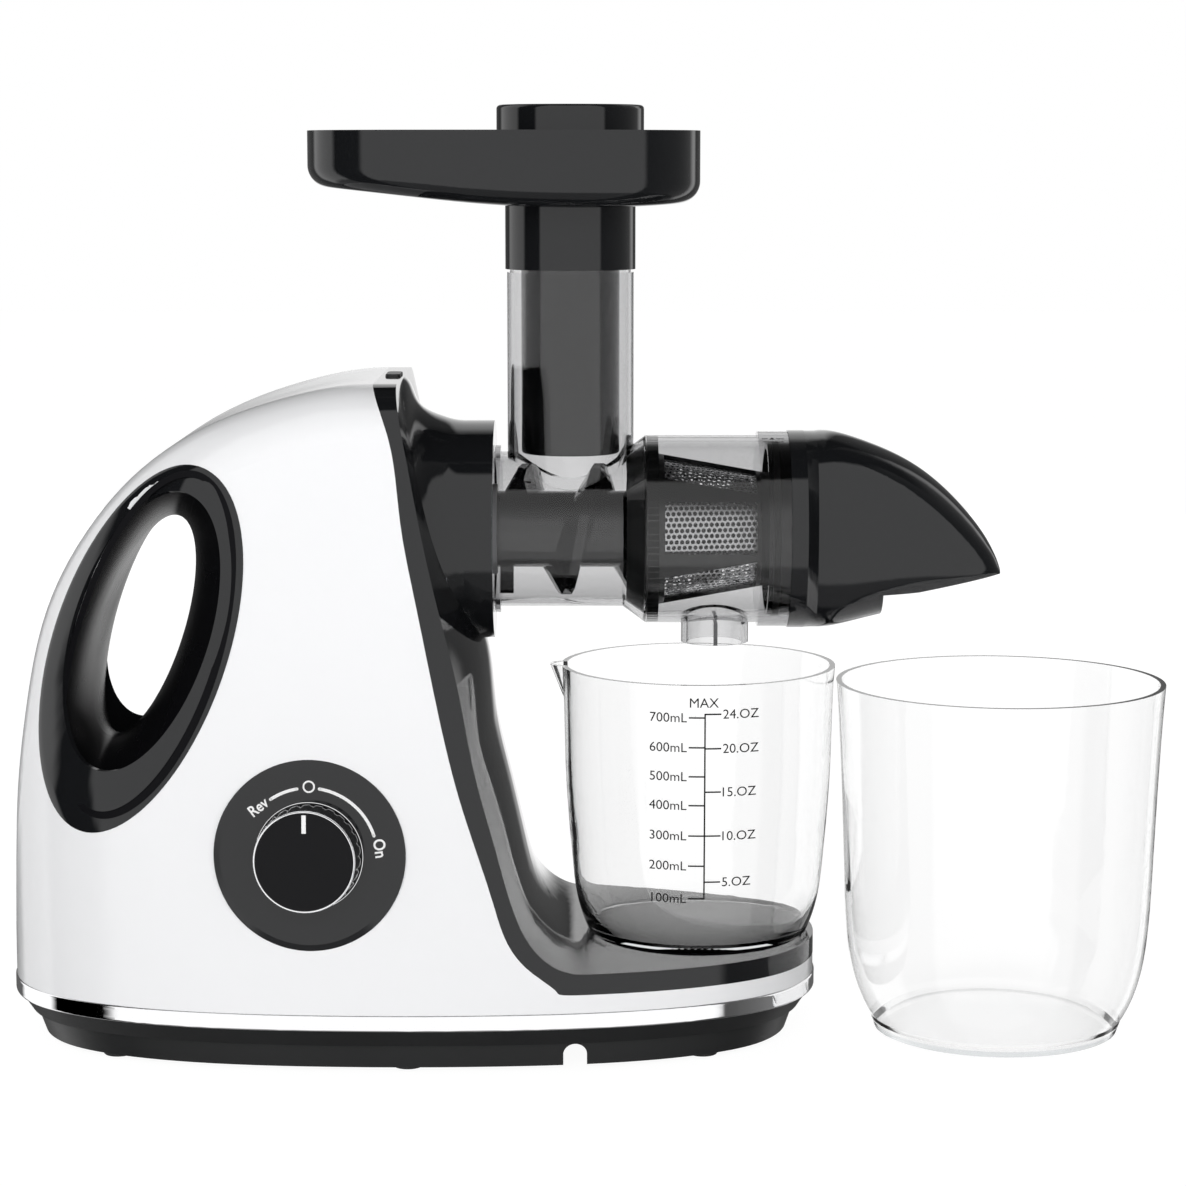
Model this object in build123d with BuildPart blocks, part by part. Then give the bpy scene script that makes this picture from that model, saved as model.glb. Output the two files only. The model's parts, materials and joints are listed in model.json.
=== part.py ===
from build123d import *
import os
from math import acos, atan2, cos, hypot, pi, radians, sin, sqrt, tan

os.makedirs("parts", exist_ok=True)

# Cold press juicer: a horizontal slow juicer with a two-shell motor housing, a clear juicing
# drum, a feed tray with its pusher, and two loose cups.
# Millimetres. X runs from the handle to the pulp outlet, Y to the back, Z up from the table.
# X = 0 and Y = 0 are the middle of the base.

# ---------------------------------------------------------------- driving dimensions
BASE_HALF_LENGTH = 161.0
BASE_HALF_DEPTH = 80.5
OVAL_POWER = 2.5           # superellipse power of the base plan
WALL = 2.6                 # housing wall
RUNNING = 0.05             # radial running clearance

FOOT_HEIGHT = 2.0
FOOT_RADIUS = 6.0
SKIRT_TIER = 12.0          # height of the step in the skirt
PAN_FLOOR = 11.5           # underside of the pan's floor
PAN_TOP = 14.0             # top of the pan's floor
BAND_BOTTOM = 19.0
BAND_TOP = 25.5
LEDGE_BOTTOM = 32.5
LEDGE_TOP = 40.5
CROWN = 265.5              # top of the motor housing
SIDE_LEAN = 3.0            # degrees by which the side walls lean in
CROWN_RADIUS = 21.0

AXIS_Z = 204.0             # drum, auger and output shaft
BOSS_RADIUS = 43.5
BOSS_FACE = 33.0
SOCKET_RADIUS = 31.1
BULKHEAD = 15.6            # back face of the wall behind the socket
BULKHEAD_FRONT = 18.2
BEARING_BORE = 15.0

BARREL_RADIUS = 31.0       # rear barrel of the drum
DRUM_RADIUS = 37.5         # front barrel of the drum
DRUM_WALL = 2.5
DRUM_BACK = 21.5
FLARE_START = 84.0
FLARE_END = 93.0
DRUM_FRONT = 149.5
CHUTE_X = 63.2
CHUTE_RADIUS = 25.1
CHUTE_BORE = 22.6
CHUTE_SHOULDER = 306.5
SPIGOT_RADIUS = 23.9
SPIGOT_TOP = 331.0
NOZZLE_X = 121.0
NOZZLE_RADIUS = 13.5
NOZZLE_BORE = 11.0
NOZZLE_BOTTOM = 158.6

CORE_RADIUS = 15.3         # auger
FLIGHT_RADIUS = 26.4
FLIGHT_PITCH = 28.6
FLIGHT_TOP = 46.0          # where the flight first passes over the top of the core
SCREEN_BACK = 98.0
SCREEN_FRONT = 140.0
SCREEN_RADIUS_BACK = 28.4
SCREEN_RADIUS_FRONT = 20.9

TRAY_CENTRE = 37.3
TRAY_HALF_LENGTH = 77.0
TRAY_HALF_DEPTH = 52.0
TRAY_POWER = 2.8
TRAY_RIM = 361.8
COLLAR_RADIUS = 25.8
COLLAR_BOTTOM = 307.7
PUSHER_RADIUS = 19.5
PUSHER_BOTTOM = 234.8
PUSHER_SEAT = 335.5        # the pusher's cap rests here, on the tray
PUSHER_TOP = 371.9
PUSHER_CAP_RADIUS = 29.1

JUICE_CUP_X = 114.5
JUICE_CUP_RIM = 149.4
PULP_CUP_X = 236.4
PULP_CUP_RIM = 142.2
CUP_WALL = 2.2

DIAL_X = -36.1
DIAL_Z = 87.3
DIAL_RADIUS = 36.9
DIAL_YAW = 3.0             # degrees by which the dial follows the curve of the side wall
KNOB_RADIUS = 20.3
KNOB_HEIGHT = 14.0

HANDLE_TILT = 19.0         # degrees from upright
MOTOR_Z = 108.0
MOTOR_RADIUS = 33.0
MOTOR_BACK = -80.0
MOTOR_FACE = -16.0
SHAFT_RADIUS = 3.0
BEARING_RADIUS = 8.0
COMMUTATOR_RADIUS = 10.0
ROTOR_RADIUS = 20.5

CASE_BACK = -16.0          # gearbox
CASE_RIM = 13.0
CASE_FRONT = 15.5
CASE_WALL = 2.0
PRESSURE_ANGLE = 25.0      # of all gear teeth
BACKLASH = 0.14
STAGE_BACK = (-12.0, -4.0, 4.0)   # back faces of the three gear stages
GEAR_WIDTH = 7.0
MODULES = (1.0, 1.25, 1.5)
PINION_TEETH = 12
WHEEL_TEETH = (60, 48, 45)
PIN_RADIUS = 3.0
HUB_RADIUS = 6.0
OUTPUT_RADIUS = 9.0
NOSE_RADIUS = 11.0         # end of the output shaft, with the hex socket in it
HEX_FLATS = 10.0

DRUM_AXIS = Axis((0, 0, AXIS_Z), (1, 0, 0))


# ---------------------------------------------------------------- shared outlines
def outline(points):
    """A straight-sided face in the sketch that calls it."""
    with BuildLine() as rim:
        Polyline(*points, close=True)
    make_face(rim.edges())


def oval(half_length, half_width, power=OVAL_POWER, centre_x=0.0, count=20):
    """A superellipse face in the sketch that calls it."""
    points = []
    for k in range(count):
        angle = 2 * pi * (k + 0.5) / count
        c, s = cos(angle), sin(angle)
        x = half_length * abs(c) ** (2 / power) * (1 if c > 0 else -1)
        y = half_width * abs(s) ** (2 / power) * (1 if s > 0 else -1)
        points.append((centre_x + x, y))
    with BuildLine() as rim:
        Spline(*points, periodic=True)
    make_face(rim.edges())


def lean(height):
    """How far a side wall has leaned in at a height."""
    return (height - BAND_TOP) * tan(radians(SIDE_LEAN))


def wall_depth(x, z):
    """Half-depth of the housing at a point of its side view."""
    taper = (1 - (abs(x) / BASE_HALF_LENGTH) ** OVAL_POWER) ** (1 / OVAL_POWER)
    return (BASE_HALF_DEPTH - lean(z)) * taper


def shifted(points, dx, dz):
    """The same points, all moved by dx and dz."""
    return [(x + dx, z + dz) for x, z in points]


# ---------------------------------------------------------------- shared solids
def turned(points, axis_y=0.0, axis_z=AXIS_Z):
    """A solid turned about an axis along X; the points are along X and out from the axis."""
    with BuildPart() as piece:
        with BuildSketch(Plane.XZ.offset(-axis_y)):
            outline([(x, axis_z + r) for x, r in points])
        revolve(axis=Axis((0, axis_y, axis_z), (1, 0, 0)))
    return piece.part


def ring(x0, x1, inside, outside, axis_y=0.0, axis_z=AXIS_Z):
    """A plain ring or, with no inside, a disc about an axis along X."""
    return turned([(x0, inside), (x0, outside), (x1, outside), (x1, inside)], axis_y, axis_z)


def post(x, y, bottom, top, radius):
    """A round upright solid."""
    with BuildPart() as piece:
        with BuildSketch(Plane.XY.offset(bottom)):
            with Locations((x, y)):
                Circle(radius)
        extrude(amount=top - bottom)
    return piece.part


# Side outline of the motor housing, from the left end of the base up over the back to the seam.
BACK_CURVE = [(-161.0, 30), (-159.6, 60), (-157.2, 100), (-151.8, 136), (-141.3, 177),
              (-124.9, 207), (-102.6, 232), (-71.8, 251.2), (-40.5, 261.6), (-12.0, CROWN)]
# Seam between the white housing and the black drive housing, from the crown down to the ledge.
SEAM_CURVE = [(-12.0, CROWN), (-5.1, 246), (-0.9, 215.5), (4.6, 185), (12.3, 146.5),
              (21.6, 107.6), (34.1, 68.4), (46.5, 43.6), (58.0, 34.3), (68.0, LEDGE_BOTTOM)]
# Throat of the drive housing on the middle plane and along its side edges, crown to ledge.
THROAT_MIDDLE = [(-3.0, CROWN), (1.8, 240), (6.5, 221), (19.0, 185), (30.0, 157), (33.5, 128),
                 (38.6, 105), (45.5, 75), (53.0, 53.0), (59.5, 44.0), (69.0, LEDGE_TOP)]
THROAT_EDGE = [(-3.0, CROWN), (1.0, 240), (4.0, 221), (9.3, 190), (14.6, 164), (20.0, 140),
               (26.0, 114), (34.2, 86), (41.0, 64.0), (50.0, 48.5), (69.0, LEDGE_TOP)]


def white_outline(inset=0.0):
    """Side view of the white housing, or of the hollow inside it, as a face."""
    left = -BASE_HALF_LENGTH + inset
    right = BASE_HALF_LENGTH - inset
    bottom = BAND_TOP - 2 * inset
    back = shifted(BACK_CURVE, inset, -inset)
    back[-1] = (SEAM_CURVE[0][0], CROWN - inset)
    with BuildLine() as rim:
        Line((left, bottom), back[0])
        Spline(*back, tangents=[(0, 1), (1, 0)])
        if inset:
            Line(back[-1], (back[-1][0], LEDGE_BOTTOM))
            Line((back[-1][0], LEDGE_BOTTOM), (right, LEDGE_BOTTOM))
        else:
            Spline(*SEAM_CURVE, tangents=[(0.35, -1), (1, 0)])
            Line(SEAM_CURVE[-1], (right, LEDGE_BOTTOM))
        Line((right, LEDGE_BOTTOM), (right, bottom))
        Line((right, bottom), (left, bottom))
    make_face(rim.edges())


def throat_outline(throat, inset=0.0):
    """One section of the drive housing, seam side to throat, as a face."""
    left = SEAM_CURVE[0][0]
    right = BASE_HALF_LENGTH + 10
    front = shifted(throat, -inset, -inset)
    with BuildLine() as rim:
        Line((left, LEDGE_BOTTOM), (left, front[0][1]))
        Line((left, front[0][1]), front[0])
        Spline(*front, tangents=[(0.1, -1), (1, 0)])
        Line(front[-1], (right, front[-1][1]))
        Line((right, front[-1][1]), (right, LEDGE_BOTTOM))
        Line((right, LEDGE_BOTTOM), (left, LEDGE_BOTTOM))
    make_face(rim.edges())


# ---------------------------------------------------------------- envelopes, not exported
def leaning_block(low, high, grow):
    """The base oval drawn up with its leaning sides, grown or shrunk all round."""
    with BuildPart() as block:
        for z in (low, high):
            with BuildSketch(Plane.XY.offset(z)):
                oval(BASE_HALF_LENGTH + grow, BASE_HALF_DEPTH - lean(z) + grow)
        loft(ruled=True)
    return block.part


def housing_form(inset):
    """The motor and drive housings as one solid, or the hollow inside them."""
    half_depth = BASE_HALF_DEPTH + 4
    with BuildPart() as form:
        for y, throat in ((-half_depth, THROAT_EDGE), (0, THROAT_MIDDLE), (half_depth, THROAT_EDGE)):
            with BuildSketch(Plane.XZ.offset(-y)):
                throat_outline(throat, inset)
        loft()
        with BuildSketch(Plane.XZ):
            white_outline(inset)
        extrude(amount=half_depth, both=True)
        add(leaning_block(BAND_TOP - 2 * inset, CROWN + 12, -inset), mode=Mode.INTERSECT)
        crown_edges = form.edges().filter_by(lambda e: e.center().Z > 150 and e.center().X < 0
                                             and abs(e.center().Y) > 30
                                             and abs(e.tangent_at(0.5).Y) < 0.9
                                             and abs(e.tangent_at(0.5).Z) < 0.95)
        fillet(crown_edges, CROWN_RADIUS)
    return form.part


def boss_form(inset):
    """Trumpet-shaped boss in front of the gearbox, or the hollow inside it."""
    back = -11.0
    foot = CROWN - inset
    neck = AXIS_Z + BOSS_RADIUS - inset
    face = BOSS_FACE - inset
    with BuildPart() as form:
        with BuildSketch(Plane.XZ):
            with BuildLine():
                Line((back, AXIS_Z), (back, foot))
                Line((back, foot), (-4.0, foot))
                Spline((-4.0, foot), (2.5, neck + 7.4), (12.0, neck + 1.9), (22.0, neck),
                       tangents=[(1, -0.4), (1, 0)])
                Line((22.0, neck), (face, neck))
                Line((face, neck), (face, AXIS_Z))
                Line((face, AXIS_Z), (back, AXIS_Z))
            make_face()
        revolve(axis=DRUM_AXIS)
    return form.part


def tunnel_form(inset):
    """The waisted tunnel of the carrying handle, right through the housing."""
    stations = [(86, 80.5, 36.5, -100), (70, 74.5, 31.0, -101), (45, 62, 23.5, -104), (0, 50, 18.5, -108)]
    sections = stations + [(-y, a, b, x) for y, a, b, x in reversed(stations[:-1])]
    with BuildPart() as form:
        for y, half_height, half_width, x in sections:
            with BuildSketch(Plane.XZ.offset(y)):
                with Locations((x, 165)):
                    Ellipse(half_height - inset, half_width - inset, rotation=90 - HANDLE_TILT)
        loft()
    return form.part


with BuildPart() as front_half:
    with BuildSketch(Plane.XZ):
        with Locations((0, CROWN / 2)):
            Rectangle(4 * BASE_HALF_LENGTH, 2 * CROWN)
    extrude(amount=2 * BASE_HALF_DEPTH)

with BuildPart() as white_zone:
    with BuildSketch(Plane.XZ):
        white_outline()
    extrude(amount=BASE_HALF_DEPTH + 4)

with BuildPart() as hollow_half:
    add(housing_form(WALL))
    add(front_half.part, mode=Mode.INTERSECT)

with BuildPart() as shell_half:
    add(housing_form(0.0))
    add(front_half.part, mode=Mode.INTERSECT)
    add(hollow_half.part, mode=Mode.SUBTRACT)

# The dial lies on the front side wall and leans and turns with it.
DIAL_NORMAL = Vector(-sin(radians(DIAL_YAW)), -cos(radians(DIAL_YAW)) * cos(radians(SIDE_LEAN)),
                     sin(radians(SIDE_LEAN)))
DIAL_CENTRE = Vector(DIAL_X, -wall_depth(DIAL_X, DIAL_Z), DIAL_Z)
DIAL_PLANE = Plane(origin=DIAL_CENTRE, z_dir=DIAL_NORMAL,
                   x_dir=(cos(radians(DIAL_YAW)), -sin(radians(DIAL_YAW)), 0))

# ---------------------------------------------------------------- white housing
POST_Y = 50.0
WHITE_POST_X = -96.0
BLACK_POST_X = 94.0
PAN_SCREWS = [(x, side * POST_Y) for x in (WHITE_POST_X, BLACK_POST_X) for side in (-1, 1)]
SCREW_BORE = 1.9

with BuildPart() as white_half:
    add(shell_half.part)
    add(white_zone.part, mode=Mode.INTERSECT)
    add(tunnel_form(0.0), mode=Mode.SUBTRACT)
    # screw post with the rib that ties it to the wall
    add(post(WHITE_POST_X, -POST_Y, PAN_TOP, 60, 5.5))
    with BuildSketch(Plane.XY.offset(BAND_TOP + 0.5)):
        with Locations((WHITE_POST_X, -POST_Y - 8.7)):
            Rectangle(3.0, 17.4)
    extrude(amount=30)
    add(post(WHITE_POST_X, -POST_Y, PAN_TOP - 1, 45, SCREW_BORE), mode=Mode.SUBTRACT)

with BuildPart() as body_shell_front:
    add(white_half.part)
    with BuildSketch(DIAL_PLANE.offset(-8)):
        Circle(DIAL_RADIUS)
    extrude(amount=16, mode=Mode.SUBTRACT)
body_shell_front.part.label = "body_shell_front"
export_step(body_shell_front.part, "parts/body_shell_front.step")

with BuildPart() as body_shell_rear:
    mirror(white_half.part, about=Plane.XZ)
body_shell_rear.part.label = "body_shell_rear"
export_step(body_shell_rear.part, "parts/body_shell_rear.step")

# ---------------------------------------------------------------- handle liners
with BuildPart() as handle_liner_front:
    add(tunnel_form(0.0))
    add(tunnel_form(WALL), mode=Mode.SUBTRACT)
    add(leaning_block(60, CROWN, 1.0), mode=Mode.INTERSECT)
    add(front_half.part, mode=Mode.INTERSECT)
handle_liner_front.part.label = "handle_liner_front"
export_step(handle_liner_front.part, "parts/handle_liner_front.step")

with BuildPart() as handle_liner_rear:
    mirror(handle_liner_front.part, about=Plane.XZ)
handle_liner_rear.part.label = "handle_liner_rear"
export_step(handle_liner_rear.part, "parts/handle_liner_rear.step")

# ---------------------------------------------------------------- gear centres and gearbox outline
CENTRE_DISTANCES = [m * (PINION_TEETH + n) / 2 for m, n in zip(MODULES, WHEEL_TEETH)]
MOTOR_CENTRE = (0.0, MOTOR_Z)
OUTPUT_CENTRE = (0.0, AXIS_Z)
FIRST_CENTRE = (-CENTRE_DISTANCES[0] / 2, MOTOR_Z + CENTRE_DISTANCES[0] * sqrt(3) / 2)


def third_corner(a, b, from_a, from_b):
    """The point at given distances from a and b, to the right of the way from a to b."""
    span = hypot(b[0] - a[0], b[1] - a[1])
    along = (from_a ** 2 - from_b ** 2 + span ** 2) / (2 * span)
    across = sqrt(from_a ** 2 - along ** 2)
    u, v = (b[0] - a[0]) / span, (b[1] - a[1]) / span
    return (a[0] + along * u + across * v, a[1] + along * v - across * u)


SECOND_CENTRE = third_corner(FIRST_CENTRE, OUTPUT_CENTRE, CENTRE_DISTANCES[1], CENTRE_DISTANCES[2])
CASE_CIRCLES = [(MOTOR_CENTRE, 24.5), (FIRST_CENTRE, 33.5), (SECOND_CENTRE, 33.6), (OUTPUT_CENTRE, 37.8)]
COVER_SCREWS = [(-36.0, 175.0), (37.0, 186.0), (26.0, 122.0), (-18.0, 98.0)]
MOUNTING_CIRCLE = 22.0
MOUNTING_SCREWS = [(MOUNTING_CIRCLE * cos(a), AXIS_Z + MOUNTING_CIRCLE * sin(a))
                   for a in (pi / 4, 3 * pi / 4, 5 * pi / 4, 7 * pi / 4)]


def case_prism(x0, x1, inset):
    """A prism on the outline drawn round all four gear centres."""
    with BuildPart() as piece:
        with BuildSketch(Plane.YZ.offset(x0)):
            for centre, radius in CASE_CIRCLES:
                with Locations(centre):
                    Circle(radius - inset)
            make_hull()
        extrude(amount=x1 - x0)
    return piece.part


# ---------------------------------------------------------------- black drive housing
BUTTON_X = -7.0
BUTTON_LENGTH = 6.0
BUTTON_WIDTH = 18.0
WELL_TOP = CROWN - WALL - 0.1
WELL_FLOOR = 252.0         # spring seat
WELL_BOTTOM = 250.0
STEM_RADIUS = 1.9

with BuildPart() as drive_half:
    add(shell_half.part)
    add(white_zone.part, mode=Mode.SUBTRACT)

with BuildPart() as drive_housing:
    add(drive_half.part)
    mirror(drive_half.part, about=Plane.XZ)
    add(boss_form(0.0))
    add(hollow_half.part, mode=Mode.SUBTRACT)
    mirror(hollow_half.part, about=Plane.XZ, mode=Mode.SUBTRACT)
    add(boss_form(WALL), mode=Mode.SUBTRACT)
    # room for the rim of the gearbox
    add(case_prism(CASE_BACK, BULKHEAD, -0.4), mode=Mode.SUBTRACT)
    # mouth of the socket, socket wall, and the bulkhead behind it with the bearing collar
    add(ring(BULKHEAD, BOSS_FACE + 1, 0, SOCKET_RADIUS), mode=Mode.SUBTRACT)
    add(ring(BULKHEAD, BULKHEAD_FRONT, BEARING_BORE, BOSS_RADIUS - WALL))
    add(ring(BULKHEAD, 20.0, BEARING_BORE, BEARING_BORE + 2.3))
    add(ring(BULKHEAD, BOSS_FACE, SOCKET_RADIUS, SOCKET_RADIUS + WALL))
    with BuildSketch(Plane.YZ.offset(BULKHEAD)):
        with Locations(*MOUNTING_SCREWS):
            Circle(2.0)
    extrude(amount=3, mode=Mode.SUBTRACT)
    # well of the release button
    with BuildSketch(Plane.XY.offset(WELL_BOTTOM)):
        with Locations((BUTTON_X, 0)):
            Rectangle(BUTTON_LENGTH + 2.0, BUTTON_WIDTH + 2.8)
    extrude(amount=WELL_TOP + 0.5 - WELL_BOTTOM)
    with BuildSketch(Plane.XY.offset(WELL_FLOOR)):
        with Locations((BUTTON_X, 0)):
            RectangleRounded(BUTTON_LENGTH + 0.3, BUTTON_WIDTH + 0.3, 2.1)
    extrude(amount=CROWN, mode=Mode.SUBTRACT)
    add(post(BUTTON_X, 0, WELL_BOTTOM - 1, WELL_FLOOR + 1, STEM_RADIUS + 0.2), mode=Mode.SUBTRACT)
    # screw posts under the ledge
    for side in (-1, 1):
        add(post(BLACK_POST_X, side * POST_Y, PAN_TOP, LEDGE_TOP - WALL / 2, 5.0))
        add(post(BLACK_POST_X, side * POST_Y, PAN_TOP - 1, 30, SCREW_BORE), mode=Mode.SUBTRACT)
drive_housing.part.label = "drive_housing"
export_step(drive_housing.part, "parts/drive_housing.step")

# ---------------------------------------------------------------- release button and its spring
with BuildPart() as release_button:
    with BuildSketch(Plane.XY.offset(CROWN - 3.6)):
        with Locations((BUTTON_X, 0)):
            RectangleRounded(BUTTON_LENGTH, BUTTON_WIDTH, 2.0)
    extrude(amount=4.6)
    fillet(release_button.edges().group_by(Axis.Z)[-1], 0.5)
    add(post(BUTTON_X, 0, WELL_BOTTOM - 3.1, CROWN - 3.0, STEM_RADIUS))
    add(post(BUTTON_X, 0, WELL_BOTTOM - 2.2, WELL_BOTTOM - 0.1, 2.8))
release_button.part.label = "release_button"
export_step(release_button.part, "parts/release_button.step")

SPRING_TURNS = 5
SPRING_RADIUS = 2.45
SPRING_WIRE = 0.35
SPRING_LENGTH = CROWN - 3.6 - WELL_FLOOR

with BuildPart() as button_spring:
    with BuildLine():
        coil = Helix(pitch=(SPRING_LENGTH - 2 * SPRING_WIRE - 0.1) / SPRING_TURNS,
                     height=SPRING_LENGTH - 2 * SPRING_WIRE - 0.1, radius=SPRING_RADIUS,
                     center=(BUTTON_X, 0, WELL_FLOOR + SPRING_WIRE + 0.05))
    with BuildSketch(Plane(origin=coil @ 0, z_dir=coil % 0)):
        Circle(SPRING_WIRE)
    sweep(is_frenet=True)
button_spring.part.label = "button_spring"
export_step(button_spring.part, "parts/button_spring.step")

# ---------------------------------------------------------------- base
FOOT_PLACES = [(x, side * y) for x, y in ((-115.5, 42.5), (0.0, 60.0), (115.5, 42.5)) for side in (-1, 1)]
NOTCH_X = 65.2
NOTCH_WIDTH = 9.2
NOTCH_TOP = 11.2
GLAND_Y = -52.0
GLAND_RADIUS = 6.0
BOARD_X = -30.0
BOARD_Z = 24.0

with BuildPart() as trim_band:
    with BuildSketch(Plane.XY.offset(BAND_BOTTOM)):
        oval(BASE_HALF_LENGTH + 0.5, BASE_HALF_DEPTH + 0.5)
    extrude(amount=BAND_TOP - BAND_BOTTOM)
    fillet(trim_band.edges().filter_by(GeomType.BSPLINE), 0.8)
    with BuildSketch(Plane.XY.offset(BAND_BOTTOM)):
        oval(BASE_HALF_LENGTH - 2.5, BASE_HALF_DEPTH - 2.5)
    extrude(amount=BAND_TOP - BAND_BOTTOM, mode=Mode.SUBTRACT)
trim_band.part.label = "trim_band"
export_step(trim_band.part, "parts/trim_band.step")

with BuildPart() as base_pan:
    # stepped skirt and the rim that holds the band and carries the shells
    for low, high, low_step, high_step in ((FOOT_HEIGHT, SKIRT_TIER, 11.0, 7.5),
                                           (SKIRT_TIER, BAND_BOTTOM, 5.5, 1.0)):
        for z, step in ((low, low_step), (high, high_step)):
            with BuildSketch(Plane.XY.offset(z)):
                oval(BASE_HALF_LENGTH - step, BASE_HALF_DEPTH - step)
        loft(ruled=True)
    with BuildSketch(Plane.XY.offset(BAND_BOTTOM)):
        oval(BASE_HALF_LENGTH - 2.5, BASE_HALF_DEPTH - 2.5)
    extrude(amount=BAND_TOP - BAND_BOTTOM)
    # hollows above and below the floor
    with BuildSketch(Plane.XY.offset(PAN_TOP)):
        oval(BASE_HALF_LENGTH - 9, BASE_HALF_DEPTH - 9)
    extrude(amount=BAND_TOP, mode=Mode.SUBTRACT)
    with BuildSketch(Plane.XY):
        oval(BASE_HALF_LENGTH - 14, BASE_HALF_DEPTH - 14)
    extrude(amount=PAN_FLOOR, mode=Mode.SUBTRACT)
    # foot posts and board posts
    for x, y in FOOT_PLACES:
        add(post(x, y, FOOT_HEIGHT, PAN_TOP - 1, FOOT_RADIUS + 1.5))
    with BuildSketch(Plane.XY.offset(PAN_TOP - 1)):
        with Locations((BOARD_X, 0)):
            with GridLocations(70, 56, 2, 2):
                Circle(3.5)
    extrude(amount=BOARD_Z - PAN_TOP + 1)
    # cord notch through the front skirt, with a round top
    with BuildSketch(Plane.XZ.offset(BASE_HALF_DEPTH)):
        with Locations((NOTCH_X, NOTCH_TOP - NOTCH_WIDTH / 2)):
            Circle(NOTCH_WIDTH / 2)
        with Locations((NOTCH_X, (NOTCH_TOP - NOTCH_WIDTH / 2) / 2)):
            Rectangle(NOTCH_WIDTH, NOTCH_TOP - NOTCH_WIDTH / 2)
    extrude(amount=-22, mode=Mode.SUBTRACT)
    # holes of the cord gland and the base screws, and the air slots under the motor
    with BuildSketch(Plane.XY.offset(PAN_FLOOR - 0.5)):
        with Locations((NOTCH_X, GLAND_Y)):
            Circle(GLAND_RADIUS)
        with Locations(*PAN_SCREWS):
            Circle(2.0)
        with Locations((BOARD_X, 0)):
            with GridLocations(9, 60, 7, 1):
                SlotOverall(34, 3, rotation=90)
    extrude(amount=4, mode=Mode.SUBTRACT)
base_pan.part.label = "base_pan"
export_step(base_pan.part, "parts/base_pan.step")

with BuildPart() as base_feet:
    with BuildSketch(Plane.XY):
        with Locations(*FOOT_PLACES):
            Circle(FOOT_RADIUS)
    extrude(amount=FOOT_HEIGHT)
    chamfer(base_feet.faces().filter_by(Axis.Z).group_by(Axis.Z)[0].edges(), 0.4)
base_feet.part.label = "base_feet"
export_step(base_feet.part, "parts/base_feet.step")

with BuildPart() as base_screws:
    for x, y in PAN_SCREWS:
        add(post(x, y, PAN_FLOOR - 2.4, PAN_FLOOR, 3.8))
        add(post(x, y, PAN_FLOOR, PAN_FLOOR + 16, SCREW_BORE))
    with BuildSketch(Plane.XY.offset(PAN_FLOOR - 2.4)):
        with Locations(*PAN_SCREWS):
            Rectangle(4.4, 0.9)
            Rectangle(0.9, 4.4)
    extrude(amount=1.2, mode=Mode.SUBTRACT)
base_screws.part.label = "base_screws"
export_step(base_screws.part, "parts/base_screws.step")

with BuildPart() as cord_gland:
    add(post(NOTCH_X, GLAND_Y, PAN_FLOOR - 1.5, PAN_FLOOR, GLAND_RADIUS + 2))
    add(post(NOTCH_X, GLAND_Y, PAN_FLOOR, PAN_TOP, GLAND_RADIUS))
    add(post(NOTCH_X, GLAND_Y, PAN_TOP, PAN_TOP + 2, GLAND_RADIUS + 1.5))
    add(post(NOTCH_X, GLAND_Y, 0, BAND_TOP, 3.5), mode=Mode.SUBTRACT)
cord_gland.part.label = "cord_gland"
export_step(cord_gland.part, "parts/cord_gland.step")

with BuildPart() as control_board:
    with BuildSketch(Plane.XY.offset(BOARD_Z)):
        with Locations((BOARD_X, 0)):
            RectangleRounded(80, 66, 2)
    extrude(amount=1.6)
    # capacitors and transformer, then the lower relays and terminals
    with BuildSketch(Plane.XY.offset(BOARD_Z + 1.6)):
        with Locations((-56, -18), (-56, 6)):
            Circle(6.0)
        with Locations((-34, -14)):
            Rectangle(18, 16)
    extrude(amount=18)
    with BuildSketch(Plane.XY.offset(BOARD_Z + 1.6)):
        with Locations((-32, 16), (-12, 16)):
            Rectangle(12, 20)
        with Locations((0, -10), (0, -18), (0, -2)):
            Rectangle(8, 4)
    extrude(amount=9)
control_board.part.label = "control_board"
export_step(control_board.part, "parts/control_board.step")

# ---------------------------------------------------------------- dial, knob and switch
PLATE_PROUD = 1.0
KNOB_BACK = PLATE_PROUD + 0.2
POINTER_LENGTH = 7.2
POINTER_WIDTH = 1.8
POINTER_DEPTH = 0.8


def dial_disc(low, high, outside, inside=0.0):
    """A disc or ring on the dial's axis, between two heights over the wall."""
    with BuildPart() as piece:
        with BuildSketch(DIAL_PLANE.offset(low)):
            Circle(outside)
            if inside:
                Circle(inside, mode=Mode.SUBTRACT)
        extrude(amount=high - low)
    return piece.part


with BuildPart() as dial_plate:
    add(dial_disc(-WALL, PLATE_PROUD, DIAL_RADIUS, 4.0))
    fillet(dial_plate.edges().group_by(SortBy.LENGTH)[-1].sort_by(Axis.Y)[0], 0.6)
dial_plate.part.label = "dial_plate"
export_step(dial_plate.part, "parts/dial_plate.step")

with BuildPart() as control_knob:
    with BuildSketch(DIAL_PLANE.offset(KNOB_BACK)):
        Circle(KNOB_RADIUS)
    extrude(amount=KNOB_HEIGHT, taper=3)
    fillet(control_knob.edges().filter_by(GeomType.CIRCLE).sort_by(Axis.Y)[0], 1.0)
    add(dial_disc(KNOB_BACK, KNOB_BACK + KNOB_HEIGHT - 2.5, KNOB_RADIUS - 2.5, 5.0), mode=Mode.SUBTRACT)
    add(dial_disc(KNOB_BACK, KNOB_BACK + KNOB_HEIGHT - 3.5, SHAFT_RADIUS), mode=Mode.SUBTRACT)
    with BuildSketch(DIAL_PLANE.offset(KNOB_BACK + KNOB_HEIGHT - POINTER_DEPTH)):
        with Locations((0, 14.6)):
            Rectangle(POINTER_WIDTH, POINTER_LENGTH)
    extrude(amount=2, mode=Mode.SUBTRACT)
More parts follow.
